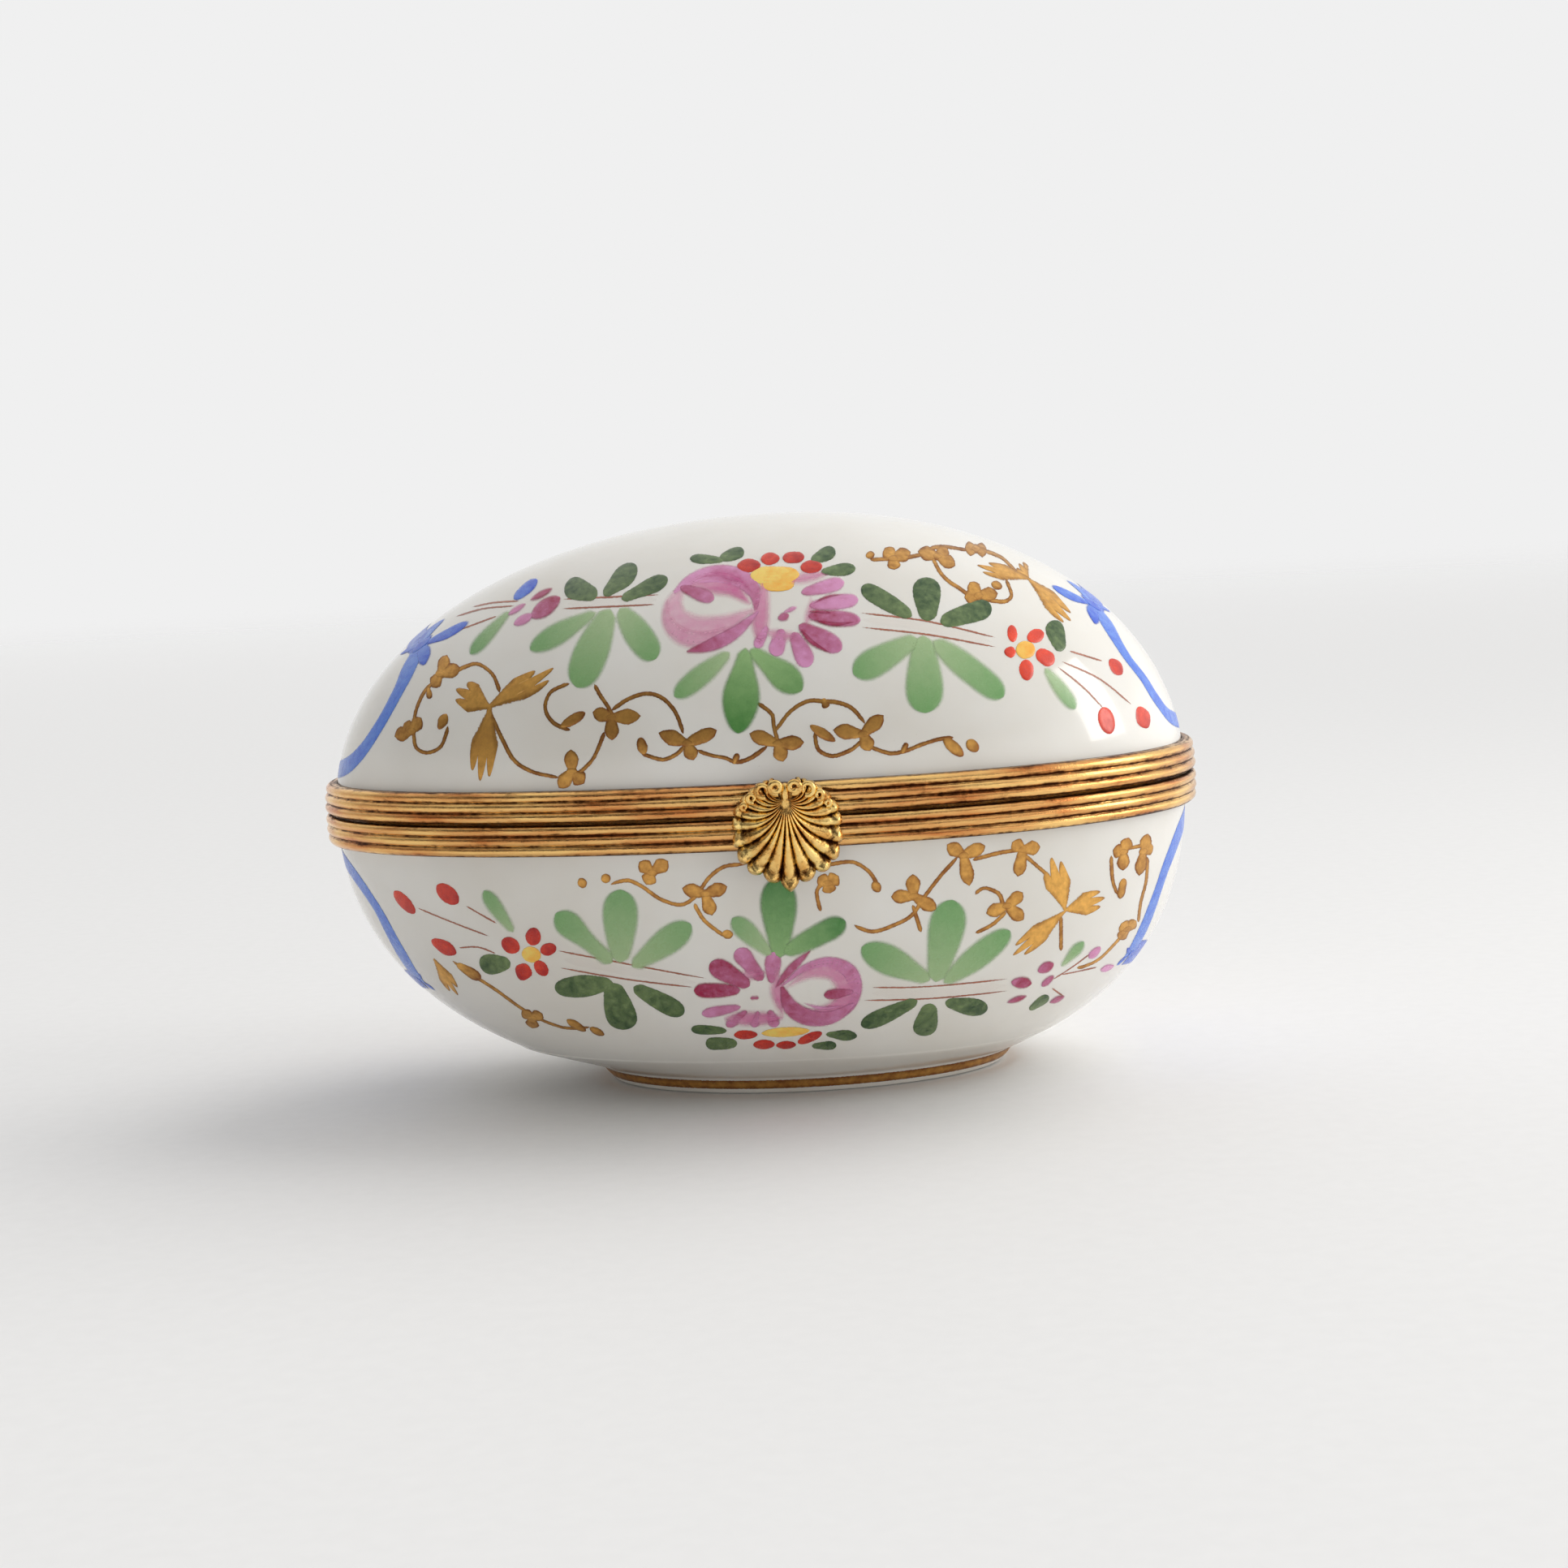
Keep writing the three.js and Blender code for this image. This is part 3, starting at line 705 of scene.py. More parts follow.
def tube(path, radii, sides=12):
    """A round tube of changing radius along a path, closed at its ends."""
    path = np.asarray(path, float)
    ahead = np.gradient(path, axis=0)
    ahead /= np.linalg.norm(ahead, axis=1, keepdims=True)
    out = np.array([0.0, -1.0, 0.0])
    side = np.cross(ahead, out)
    side /= np.linalg.norm(side, axis=1, keepdims=True)
    lift = np.cross(side, ahead)
    turn = 2 * math.pi * np.arange(sides) / sides
    radii = np.asarray(radii, float)[:, None, None]
    spokes = np.cos(turn)[None, :, None] * side[:, None] + np.sin(turn)[None, :, None] * lift[:, None]
    return (path[:, None] + spokes * radii).reshape(-1, 3), capped_faces(len(path), sides)


# centre, size, thickness and height of a scroll, its turns, and how far it winds in
SCROLLS = [
    ((0.95, 3.35), 0.64, 0.36, 1.75, 1.25, 0.45),
    ((2.3, 3.05), 0.72, 0.3, 1.3, 0.9, 0.35),
    ((3.5, 2.35), 0.5, 0.28, 1.0, 1.0, 0.5),
    ((4.35, 1.45), 0.34, 0.26, 0.8, 1.0, 0.5),
]


def shell_scrolls():
    """Scrolls crown the shell, with smaller ones on its shoulders, and a short ridge parts the middle two."""
    parts = []
    t = np.linspace(0, 1, 36)
    for side in (-1, 1):
        for centre, size, thick, depth, turns, wind in SCROLLS:
            swing = math.pi * (-0.6 + 2 * turns * t)
            radius = size * (1 - wind * t)
            x = side * (centre[0] + radius * np.cos(swing)) + SHELL_UMBO[0]
            z = centre[1] + radius * np.sin(swing)
            y = SHELL_Y - depth - 0.25 * t
            parts.append(tube(np.column_stack([x, y, z]), thick * (1.05 - 0.3 * t)))
    t = np.linspace(0, 1, 24)
    y = SHELL_Y - SHELL_CROWN - 0.2 * np.sin(math.pi * t)
    ridge = np.column_stack([np.full(24, SHELL_UMBO[0]), y, 3.8 - 2.6 * t])
    parts.append(tube(ridge, 0.04 + 0.36 * np.sin(math.pi * t**0.7) ** 0.7, sides=20))
    return parts


def shell_clasp():
    points, faces, hollow = shell_fan()
    for more_points, more_faces in shell_scrolls():
        faces += [[index + len(points) for index in face] for face in more_faces]
        points = np.concatenate([points, more_points])
        hollow = np.concatenate([hollow, np.full(len(more_points), 0.05)])
    piece = tidy(mesh_object("shell_ornament", points, faces, {"hollow": hollow}), 50.0)
    finish_piece(piece, "clasp", "bright_gilt", SHELL_GILT, "shell_clasp")


# ---------------------------------------------------------------- the painting

# A page is flat and upright. For each: right on the page and into the page.
VIEWS = {
    "front": ((1, 0, 0), (0, 1, 0)),
    "back": ((1, 0, 0), (0, -1, 0)),
    "right_end": ((0, 1, 0), (-1, 0, 0)),
    "left_end": ((0, 1, 0), (1, 0, 0)),
}


def onto_glaze(page, view):
    """Points of the page, in mm, carried along the view's direction to the near side of the egg."""
    right, into = (np.array(way, float) for way in VIEWS[view])
    page = np.asarray(page, float)
    flat = page[..., :1] * right + page[..., 1:2] * (0, 0, 1)
    near, far = np.full(page.shape[:-1], -60.0), np.zeros(page.shape[:-1])
    for _ in range(30):
        middle = (near + far) / 2
        inside = excess(flat + middle[..., None] * into) < 0
        near, far = np.where(inside, near, middle), np.where(inside, middle, far)
    return flat + far[..., None] * into


def leaf(u):
    """Half width of a leaf or petal: narrow where it starts, and round at its far end."""
    ends = np.sqrt(np.maximum(1 - u**4.6, 0)) * 1.26 * np.minimum(1, u / 0.08) ** 0.5
    return (0.36 + 0.64 * u**0.8) * ends


def pointed(u):
    """Half width of a floret's lobe."""
    return np.interp(u, [0, 0.25, 0.6, 0.85, 1], [0.45, 0.75, 1, 0.66, 0.06])


def oval(u):
    return np.sqrt(np.maximum(1 - (2 * u - 1) ** 2, 0))


def line(u):
    """Half width of a drawn line, tapered over its last eighth."""
    return np.minimum(1, np.minimum(u, 1 - u) * 8) ** 0.5


def even(u):
    """Half width of a ribbon, which swells and narrows a little."""
    return 0.93 + 0.07 * np.sin(26 * u)


def swelling(u):
    """A brush pressed down along the way."""
    return np.sin(math.pi * (0.06 + 0.88 * u)) ** 0.75


def sweep(points, samples):
    """A smooth curve led by points, which it only meets at its ends."""
    points = np.asarray(points, float)
    if len(points) > 2:
        middle = 0.2 * points[:-2] + 0.6 * points[1:-1] + 0.2 * points[2:]
        points = np.concatenate([points[:1], middle, points[-1:]])
    return curve_through(points, samples)


STROKE_COLUMNS = 9  # points across a stroke
ROWS_PER_MM = 3.2
FINE_STEPS = 400  # samples of a stroke's path, from which its rows are taken
GLAZE_GAP = 0.008  # the paint's border is this far off the glaze


class Painting:
    """The strokes of one pigment on one half of the box."""

    def __init__(self):
        self.points, self.faces, self.tone, self.inset, self.count = [], [], [], [], 0

    def add(self, page, view, inset, shade, lift):
        """Carries a grid of places on the page to the glaze, raised by lift away from its border."""
        places = onto_glaze(page, view)
        outwards = normals(places)
        rows, across = inset.shape
        height = GLAZE_GAP + lift * np.minimum(1, inset / 0.25)
        faces = grid_faces(rows, across, wrap_columns=False)
        a, b, c = (places.reshape(-1, 3)[index] for index in faces[len(faces) // 2][:3])
        if np.dot(np.cross(b - a, c - a), outwards[rows // 2, across // 2]) < 0:
            faces = faces[:, ::-1]
        self.faces.append(faces + self.count)
        self.points.append((places + outwards * height[..., None]).reshape(-1, 3))
        self.tone.append(shade.ravel())
        self.inset.append(inset.ravel())
        self.count += rows * across

    def stroke(self, path, width, profile, view, tone, lift, streak):
        """A stroke whose width is the one seen on the page; streak makes its middle lighter."""
        path = np.asarray(path, float)
        length = float(np.linalg.norm(np.diff(path, axis=0), axis=1).sum())
        rows = int(np.clip(length * ROWS_PER_MM, 14, 260))
        u = np.linspace(0, 1, rows)
        if profile not in (line, even):
            u = (1 - np.cos(math.pi * u)) / 2  # closer together at the round ends
        fine = sweep(path, FINE_STEPS)
        steps = u * (FINE_STEPS - 1)
        spine = np.stack([np.interp(steps, np.arange(FINE_STEPS), fine[:, k]) for k in (0, 1)], -1)
        ahead = np.gradient(spine, axis=0)
        ahead /= np.maximum(np.linalg.norm(ahead, axis=1, keepdims=True), 1e-9)
        side = np.column_stack([-ahead[:, 1], ahead[:, 0]])
        wobble = 1 + 0.05 * RANDOM.standard_normal() * np.sin(u * 7 + RANDOM.uniform(0, 6))
        half = np.maximum(profile(u), 0.02) * width / 2 * wobble
        v = np.linspace(-1, 1, STROKE_COLUMNS)
        page = spine[:, None] + side[:, None] * (half[:, None] * v)[..., None]
        inset = half[:, None] * (1 - np.abs(v))
        shade = tone[0] + (tone[1] - tone[0]) * u[:, None] + 0.06 * RANDOM.standard_normal()
        self.add(page, view, inset, shade - streak * (1 - v**2), lift)

    def lobed_leaf(self, base, tip, width, view, tone, lift):
        """A leaf that widens like a wedge from its base and ends in three fingers."""
        base, along = np.array(base, float), np.subtract(tip, base)
        length = float(np.linalg.norm(along))
        side = np.array([-along[1], along[0]]) / length
        u = np.linspace(0, 1, 40)[:, None]
        v = np.linspace(-1, 1, 41)
        half = width / 2 * np.interp(u, [0, 0.1, 0.35, 0.72, 1], [0.13, 0.22, 0.52, 0.96, 0.9])
        outer = 0.3 + 0.5 * RANDOM.uniform(0, 1, 2)  # how far the two outer fingers reach
        fingers = [(0.0, 1.0, 0.36), (-0.66, outer[0], 0.32), (0.66, outer[1], 0.32)]
        rounds = [far * np.maximum(1 - np.abs((v - at) / wide) ** 2.2, 0) for at, far, wide in fingers]
        reach = np.max(rounds, axis=0)
        ahead = u * (0.66 + 0.34 * reach)
        bend = RANDOM.uniform(-0.5, 0.5) * u**2
        page = base + ahead[..., None] * along + ((half * v) + bend)[..., None] * side
        inset = np.minimum(half * (1 - np.abs(v)), (1 - u) * (0.66 + 0.34 * reach) * length * 0.6)
        shade = tone[0] + (tone[1] - tone[0]) * u
        self.add(page, view, inset, np.broadcast_to(shade, inset.shape), lift)

    def piece(self, name, body, slot, material):
        values = {"tone": np.clip(np.concatenate(self.tone), 0, 1), "inset": np.concatenate(self.inset)}
        made = mesh_object(name, np.concatenate(self.points), np.concatenate(self.faces), values)
        finish_piece(made, body, slot, material)


class Decorator:
    """Collects strokes for one half of the box; garlands are painted on the front and the back."""

    def __init__(self, body, views=("front", "back")):
        self.body, self.views, self.layers = body, views, {}

    def paint(self, pigment, paths, profile, width, tone=(0.3, 0.7), lift=0.03, streak=0.0):
        """Each path is a list of places, and its last entry may be a width instead."""
        layer = self.layers.setdefault(pigment, Painting())
        for path in paths:
            places = [place for place in path if isinstance(place, tuple)]
            across = path[-1] if len(places) < len(path) else width
            for view in self.views:
                layer.stroke(places, across, profile, view, tone, lift, streak)

    def leaves(self, pigment, paths, width=3.0, tone=(0.1, 0.9), **more):
        self.paint(pigment, paths, leaf, width, tone, **more)

    def lines(self, pigment, paths, width=0.25, tone=(0.4, 0.6), lift=0.02, **more):
        self.paint(pigment, paths, line, width, tone, lift, **more)

    def sweeps(self, pigment, paths, width=2.0, tone=(0.3, 0.7), **more):
        self.paint(pigment, paths, swelling, width, tone, **more)

    def buds(self, pigment, paths, width=1.5, tone=(0.3, 0.7), lift=0.06, **more):
        self.paint(pigment, paths, oval, width, tone, lift, **more)

    def vines(self, paths, width=0.52, overlap=0.6):
        """Gold lines, drawn on a little at both ends so that they run into the florets."""
        for path in paths:
            ends = []
            for end, before in (path[:2], path[:-3:-1]):
                way = np.subtract(end, before)
                ends.append(tuple(end + overlap * way / np.linalg.norm(way)))
            self.lines("gold", [[ends[0], *path, ends[1], width]])

    def florets(self, florets, width=1.75):
        """A floret is its centre and then the tips of its lobes."""
        for centre, *tips in florets:
            self.paint("gold", [[centre, tip, width] for tip in tips], pointed, width, tone=(0.4, 0.6))
            x, z = centre
            self.buds("gold", [[(x - 0.6, z), (x + 0.6, z), 1.1]], tone=(0.5, 0.5), lift=0.04)

    def lobed_leaves(self, leaves):
        """Each gold leaf is its base, its tip and its width."""
        layer = self.layers.setdefault("gold", Painting())
        for shape in leaves:
            for view in self.views:
                layer.lobed_leaf(*shape, view, tone=(0.15, 0.3), lift=0.03)

    def finish(self):
        for pigment, painting in self.layers.items():
            slot = "gilt_brass" if pigment == "gold" else "porcelain"
            painting.piece(f"{self.body}_{pigment}_{self.views[0]}", self.body, slot, PIGMENTS[pigment])


def paint_lid_garland():
    on = Decorator("lid")
    on.lines("stem_band", [
        [(-23, 23), (-18, 23), (-12.7, 23)], [(9, 19.8), (16, 18.8), (23, 16.6)],
    ], width=1.1, lift=0.01)
    on.lines("stem", [
        [(-23.5, 23.5), (-18, 23.5), (-12.5, 23.5)], [(-23.5, 22.5), (-18, 22.5), (-13, 22.5)],
        [(9, 20.5), (16, 19.5), (23.5, 17)], [(9, 19), (16, 18), (23.5, 16)], [(31.5, 15), (35.5, 13.5)],
        [(30, 13.5), (33, 11), (35, 8.5)], [(30.5, 14), (35, 12), (38.5, 8.5)],
        [(-29, 23), (-33, 23), (-36.5, 22)], [(-31, 22), (-36, 20.5)],
        [(-28.5, 23.5), (-32, 23.5), (-34.5, 23)],
    ])
    on.leaves("leaf_pale", [
        [(-29.5, 22.5), (-34, 18), 2.3], [(-19.5, 22), (-27, 18.3), 3.0], [(-18, 22.3), (-21.7, 14.2), 4.7],
        [(-17, 22.3), (-13, 16.8), 3.9], [(-5, 17.2), (-11.2, 12.8), 3.0],
        [(15, 17.5), (7.8, 14.2), 3.8], [(15.5, 17.8), (15.2, 9.7), 4.8], [(16.5, 17.2), (23.8, 10.8), 3.7],
        [(28.5, 13.5), (31.7, 8.8), 2.3],
    ])
    on.leaves("leaf_mid", [[(-3.4, 17.6), (-4.6, 8.7), 4.3]])
    on.leaves("leaf_mid", [[(-3.0, 17.4), (2.4, 12.8), 3.5]], tone=(0.0, 0.55))
    on.leaves("leaf_dark", [
        [(-19.5, 23.7), (-23.3, 25), 2.6], [(-18.8, 23.7), (-15.3, 26.8), 2.4],
        [(-16.8, 23.2), (-11.7, 25.2), 1.9], [(-5.5, 26.8), (-9.3, 27.2), 1.2],
        [(-6, 27), (-3.3, 27.7), 1.6], [(4, 26.2), (6.7, 27.3), 1.7], [(5.0, 25), (8.8, 25.2), 1.5],
        [(14.5, 19.8), (9.3, 23.2), 2.2], [(16.2, 19.2), (16.4, 23.8), 3.3],
        [(17.5, 19), (23.3, 20.3), 2.5], [(30.7, 15), (30, 18.3), 2.4],
    ], tone=(0.4, 0.8), lift=0.05)
    on.buds("blue", [[(-29.3, 23.7), (-26.7, 25.7), 1.6]], tone=(0.6, 1.0))
    on.buds("pink", [[(-27, 21.7), (-23.7, 23.7), 2.2], [(-27.3, 23.5), (-24.7, 24.7), 1.1]], tone=(0.6, 0.9))
    on.buds("pink", [[(-29, 21), (-26.7, 22), 1.4], [(-29.8, 22), (-27.7, 23.2), 1.0]], tone=(0.0, 0.2))
    on.buds("red", [
        [(36.3, 13.6), (37.7, 11.9), 1.5], [(34.8, 8.7), (35.6, 5.8), 2.0],
        [(39.2, 8.2), (40.3, 5.8), 1.8],
    ])
    on.buds("yellow", [[(-2.7, 25), (2.7, 24.8), 2.2]], tone=(0.0, 0.6), lift=0.04)
    on.leaves("yellow", [[(0.3, 25.8), (0.2, 23.2), 4.4]], tone=(0.1, 0.6), lift=0.04)
    on.buds("red", [
        [(-4.1, 26.1), (-1.5, 26.1), 1.5], [(-1.5, 26.7), (0.6, 26.7), 1.4], [(0.9, 26.7), (3.3, 26.7), 1.4],
        [(2.8, 25.6), (5.2, 25.6), 1.5],
    ], tone=(0.3, 0.8), lift=0.09)
    on.buds("yellow", [[(25.5, 15.5), (27.7, 15.5), 2.0]])
    on.buds("red", [
        [(25.3, 16.4), (25.3, 18.2), 1.2], [(26.9, 16.6), (28.9, 17.1), 1.5],
        [(25.5, 15.3), (24.2, 15.5), 1.2], [(26.5, 14.5), (26.5, 12.3), 1.7],
        [(27.8, 15.2), (29.7, 13.9), 1.8],
    ], tone=(0.0, 0.4))
    # the rose: a pale ball, its darker outer petals, and a touch that opens its heart
    on.sweeps("pink_wash", [
        [(-10, 24.2), (-11.3, 22.5), (-11, 20.5), (-9, 19.4), (-5.5, 19.8), (-2.5, 21.4), 3.8],
    ], tone=(0.1, 0.35))
    on.sweeps("pink_wash", [[(-9.7, 24), (-7.5, 24.7), (-4.8, 24.3), (-2.7, 22), 3.0]], tone=(0.3, 0.9))
    on.sweeps("pink", [
        [(-11, 23.6), (-9.3, 25), (-6.5, 25.6), (-3.5, 25), (-1.9, 23.3), (-2.1, 21.4), 2.4],
    ], tone=(0.0, 0.5))
    on.sweeps("pink_wash", [
        [(-8, 25.2), (-6, 25.6), (-3.8, 24.8), (-2.6, 23.4), 1.6],
    ], tone=(0.9, 1.0), lift=0.05)
    on.sweeps("pink_wash", [
        [(-11.7, 23), (-12.1, 20.7), (-10.6, 18.9), (-8, 18.3), (-5, 19), (-2.4, 20.8), 2.6],
    ], tone=(0.2, 0.5))
    on.sweeps("pink", [
        [(-9.7, 17.4), (-7, 17.9), (-4.3, 19), (-1.9, 21.2), 1.8],
    ], tone=(0.95, 0.3), lift=0.05)
    on.leaves("pink", [[(-10.4, 24.2), (-6.6, 22.7), 1.9]], tone=(0.65, 0.25), lift=0.05)
    # the daisy: petals round a bare white heart
    on.sweeps("pink_wash", [
        [(-1.0, 24.6), (-1.5, 22.4), (-1.8, 20), (-1.9, 17.8), 2.8],
        [(0.6, 24.3), (3.2, 24.4), (6.2, 24.9), 1.9], [(-1.4, 19.2), (0.4, 18.3), (2.4, 18.6), 2.0],
        [(2.9, 19.2), (3.7, 20.6), (3.8, 22.6), 1.5],
    ], tone=(0.4, 0.7))
    on.leaves("pink", [
        [(2.7, 22.9), (7.5, 23.8), 2.0], [(3.5, 21.5), (8.9, 21.9), 2.1], [(1.7, 18.9), (3.2, 15.2), 2.5],
        [(0.6, 19.3), (-0.4, 16.5), 2.2], [(-1, 19.7), (-2.3, 17.4), 1.6],
    ], tone=(0.55, 0.15), streak=0.2)
    on.leaves("pink", [
        [(3.3, 20.5), (9, 19.7), 2.1], [(2.3, 19.6), (6.8, 16.8), 2.5],
    ], tone=(0.8, 0.45), lift=0.05)
    on.sweeps("pink", [
        [(3.6, 20.1), (6, 19.2), (8.7, 19.6), 0.8], [(3.4, 20.9), (4.6, 20.9), (6, 20.6), 0.8],
        [(2.4, 19.3), (3.4, 17.6), (5.6, 16.5), 0.9], [(3.8, 21.6), (5.6, 22.6), (7.4, 22.5), 0.6],
    ], tone=(1.0, 0.9), lift=0.07)
    on.buds("pink", [[(0.1, 20.3), (1.4, 20.7), 1.2]], tone=(0.6, 0.7))
    on.buds("pink", [[(0.7, 20.9), (2.3, 21.5), 0.8]], tone=(0.2, 0.1))
    paint_lid_gold(on)
    on.finish()


def paint_lid_gold(on):
    on.vines([
        [(-37.5, 15.5), (-39.5, 14.5), (-40.5, 12), (-40.5, 10.5)],
        [(-40.5, 9.5), (-40.5, 8), (-39, 7.5), (-37, 8), (-36.5, 10)],
        [(-35, 16.5), (-33, 17.5), (-31, 16), (-30.5, 14.5)],
        [(-31.5, 12), (-30, 9), (-29, 6.5), (-27, 5.5), (-24.5, 5)],
        [(-21.5, 5.5), (-20, 6.5), (-19, 9)], [(-18, 11.5), (-18.5, 12.5), (-19, 13), (-19.5, 14)],
        [(-23, 14.5), (-25, 14), (-25.5, 12), (-24.5, 10.5), (-23, 10)],
        [(-17.5, 12), (-16, 13), (-14, 13.5), (-12.5, 13), (-11, 11.5), (-10.5, 9.5)],
        [(-10.5, 7.5), (-11, 7), (-12.5, 6), (-14.5, 7)],
        [(-8.5, 7), (-7.5, 6.5), (-6, 6.5), (-5, 5.5), (-3.5, 6), (-2, 7)],
        [(-0.5, 8), (-1, 9.5), (-0.5, 10.5), (-2, 11.5)],
        [(-0.5, 9), (1, 11), (3, 12), (4.5, 11.5), (6, 11.5), (7.5, 11), (8.5, 9.5)],
        [(8, 7), (7.5, 6.5), (5, 5.5), (3.5, 6.5), (3.5, 8)],
        [(9.5, 6.5), (11.5, 5.5), (13, 6), (14.5, 6.5), (16.5, 7), (17.5, 7)],
        [(11, 26), (13, 26), (15.5, 26), (17, 26.5)], [(17, 26.5), (17.5, 27), (19, 27), (21, 26.5)],
        [(24, 26), (25.5, 25.5), (26.5, 24)], [(17.5, 25.5), (18, 24), (19, 23), (20, 22.5), (21, 21.5)],
        [(23, 21), (25, 20.5), (26, 21), (25.5, 22.5)],
    ])
    on.florets([
        [(-37.5, 16), (-36.8, 18), (-38.4, 14.6), (-35, 16.6)],
        [(-40.8, 10), (-43, 9.4), (-39.6, 11.4), (-41.8, 10.8)],
        [(-22.5, 5.5), (-22.5, 7.8), (-21.2, 4.2), (-24, 3.8)],
        [(-18, 11), (-14.8, 11), (-20, 11.6), (-18, 8.6)],
        [(-10, 8), (-6.8, 9.2), (-13, 9.2), (-9.4, 6.2)],
        [(-0.5, 7.5), (-3.4, 8.7), (2.3, 7.5), (0, 5.6)], [(8.5, 8), (10.8, 9.8), (5.4, 8.6), (9.2, 6.2)],
        [(13, 26), (12.2, 27.2), (15, 26.6), (13, 24.8)],
        [(18, 26), (15.8, 26.6), (19.8, 24.8), (19.2, 26.8)],
        [(22, 21.5), (21.2, 23), (24.2, 21.6), (20.4, 21.4)], [(22.5, 26.5), (21.2, 26.6), (23.8, 26.2)],
    ])
    on.leaves("gold", [
        [(-5.2, 5.6), (-4.7, 6.7), 0.8], [(12.5, 5.7), (13.1, 6.8), 0.8], [(4.5, 11.9), (4.9, 10.9), 1.0],
        [(-38.9, 14.6), (-38.6, 13.4), 0.9],
    ])
    on.buds("gold", [
        [(-36.5, 11.8), (-37.5, 10.2), 1.2], [(-23.5, 10.2), (-20.8, 11.6), 1.2],
        [(-14.6, 7), (-15, 8.8), 1.2], [(3, 9.2), (5.6, 7.4), 1.1], [(17, 7), (19, 5), 1.3],
        [(19.5, 6.6), (20.6, 5.4), 1.3], [(10, 26.4), (11, 26.6), 0.9], [(23.6, 22.7), (24.8, 22.2), 1.0],
    ])
    on.lobed_leaves([
        [(-31.4, 12.4), (-35.6, 14.2), 3.4], [(-31.8, 12.3), (-24.4, 16.7), 2.8],
        [(-31.4, 12.6), (-32.6, 4.6), 3.3], [(28.3, 22.8), (22.3, 24.9), 1.9],
        [(27.9, 23), (32.6, 18.3), 2.3], [(28.1, 23), (27.2, 24.6), 1.8],
    ])


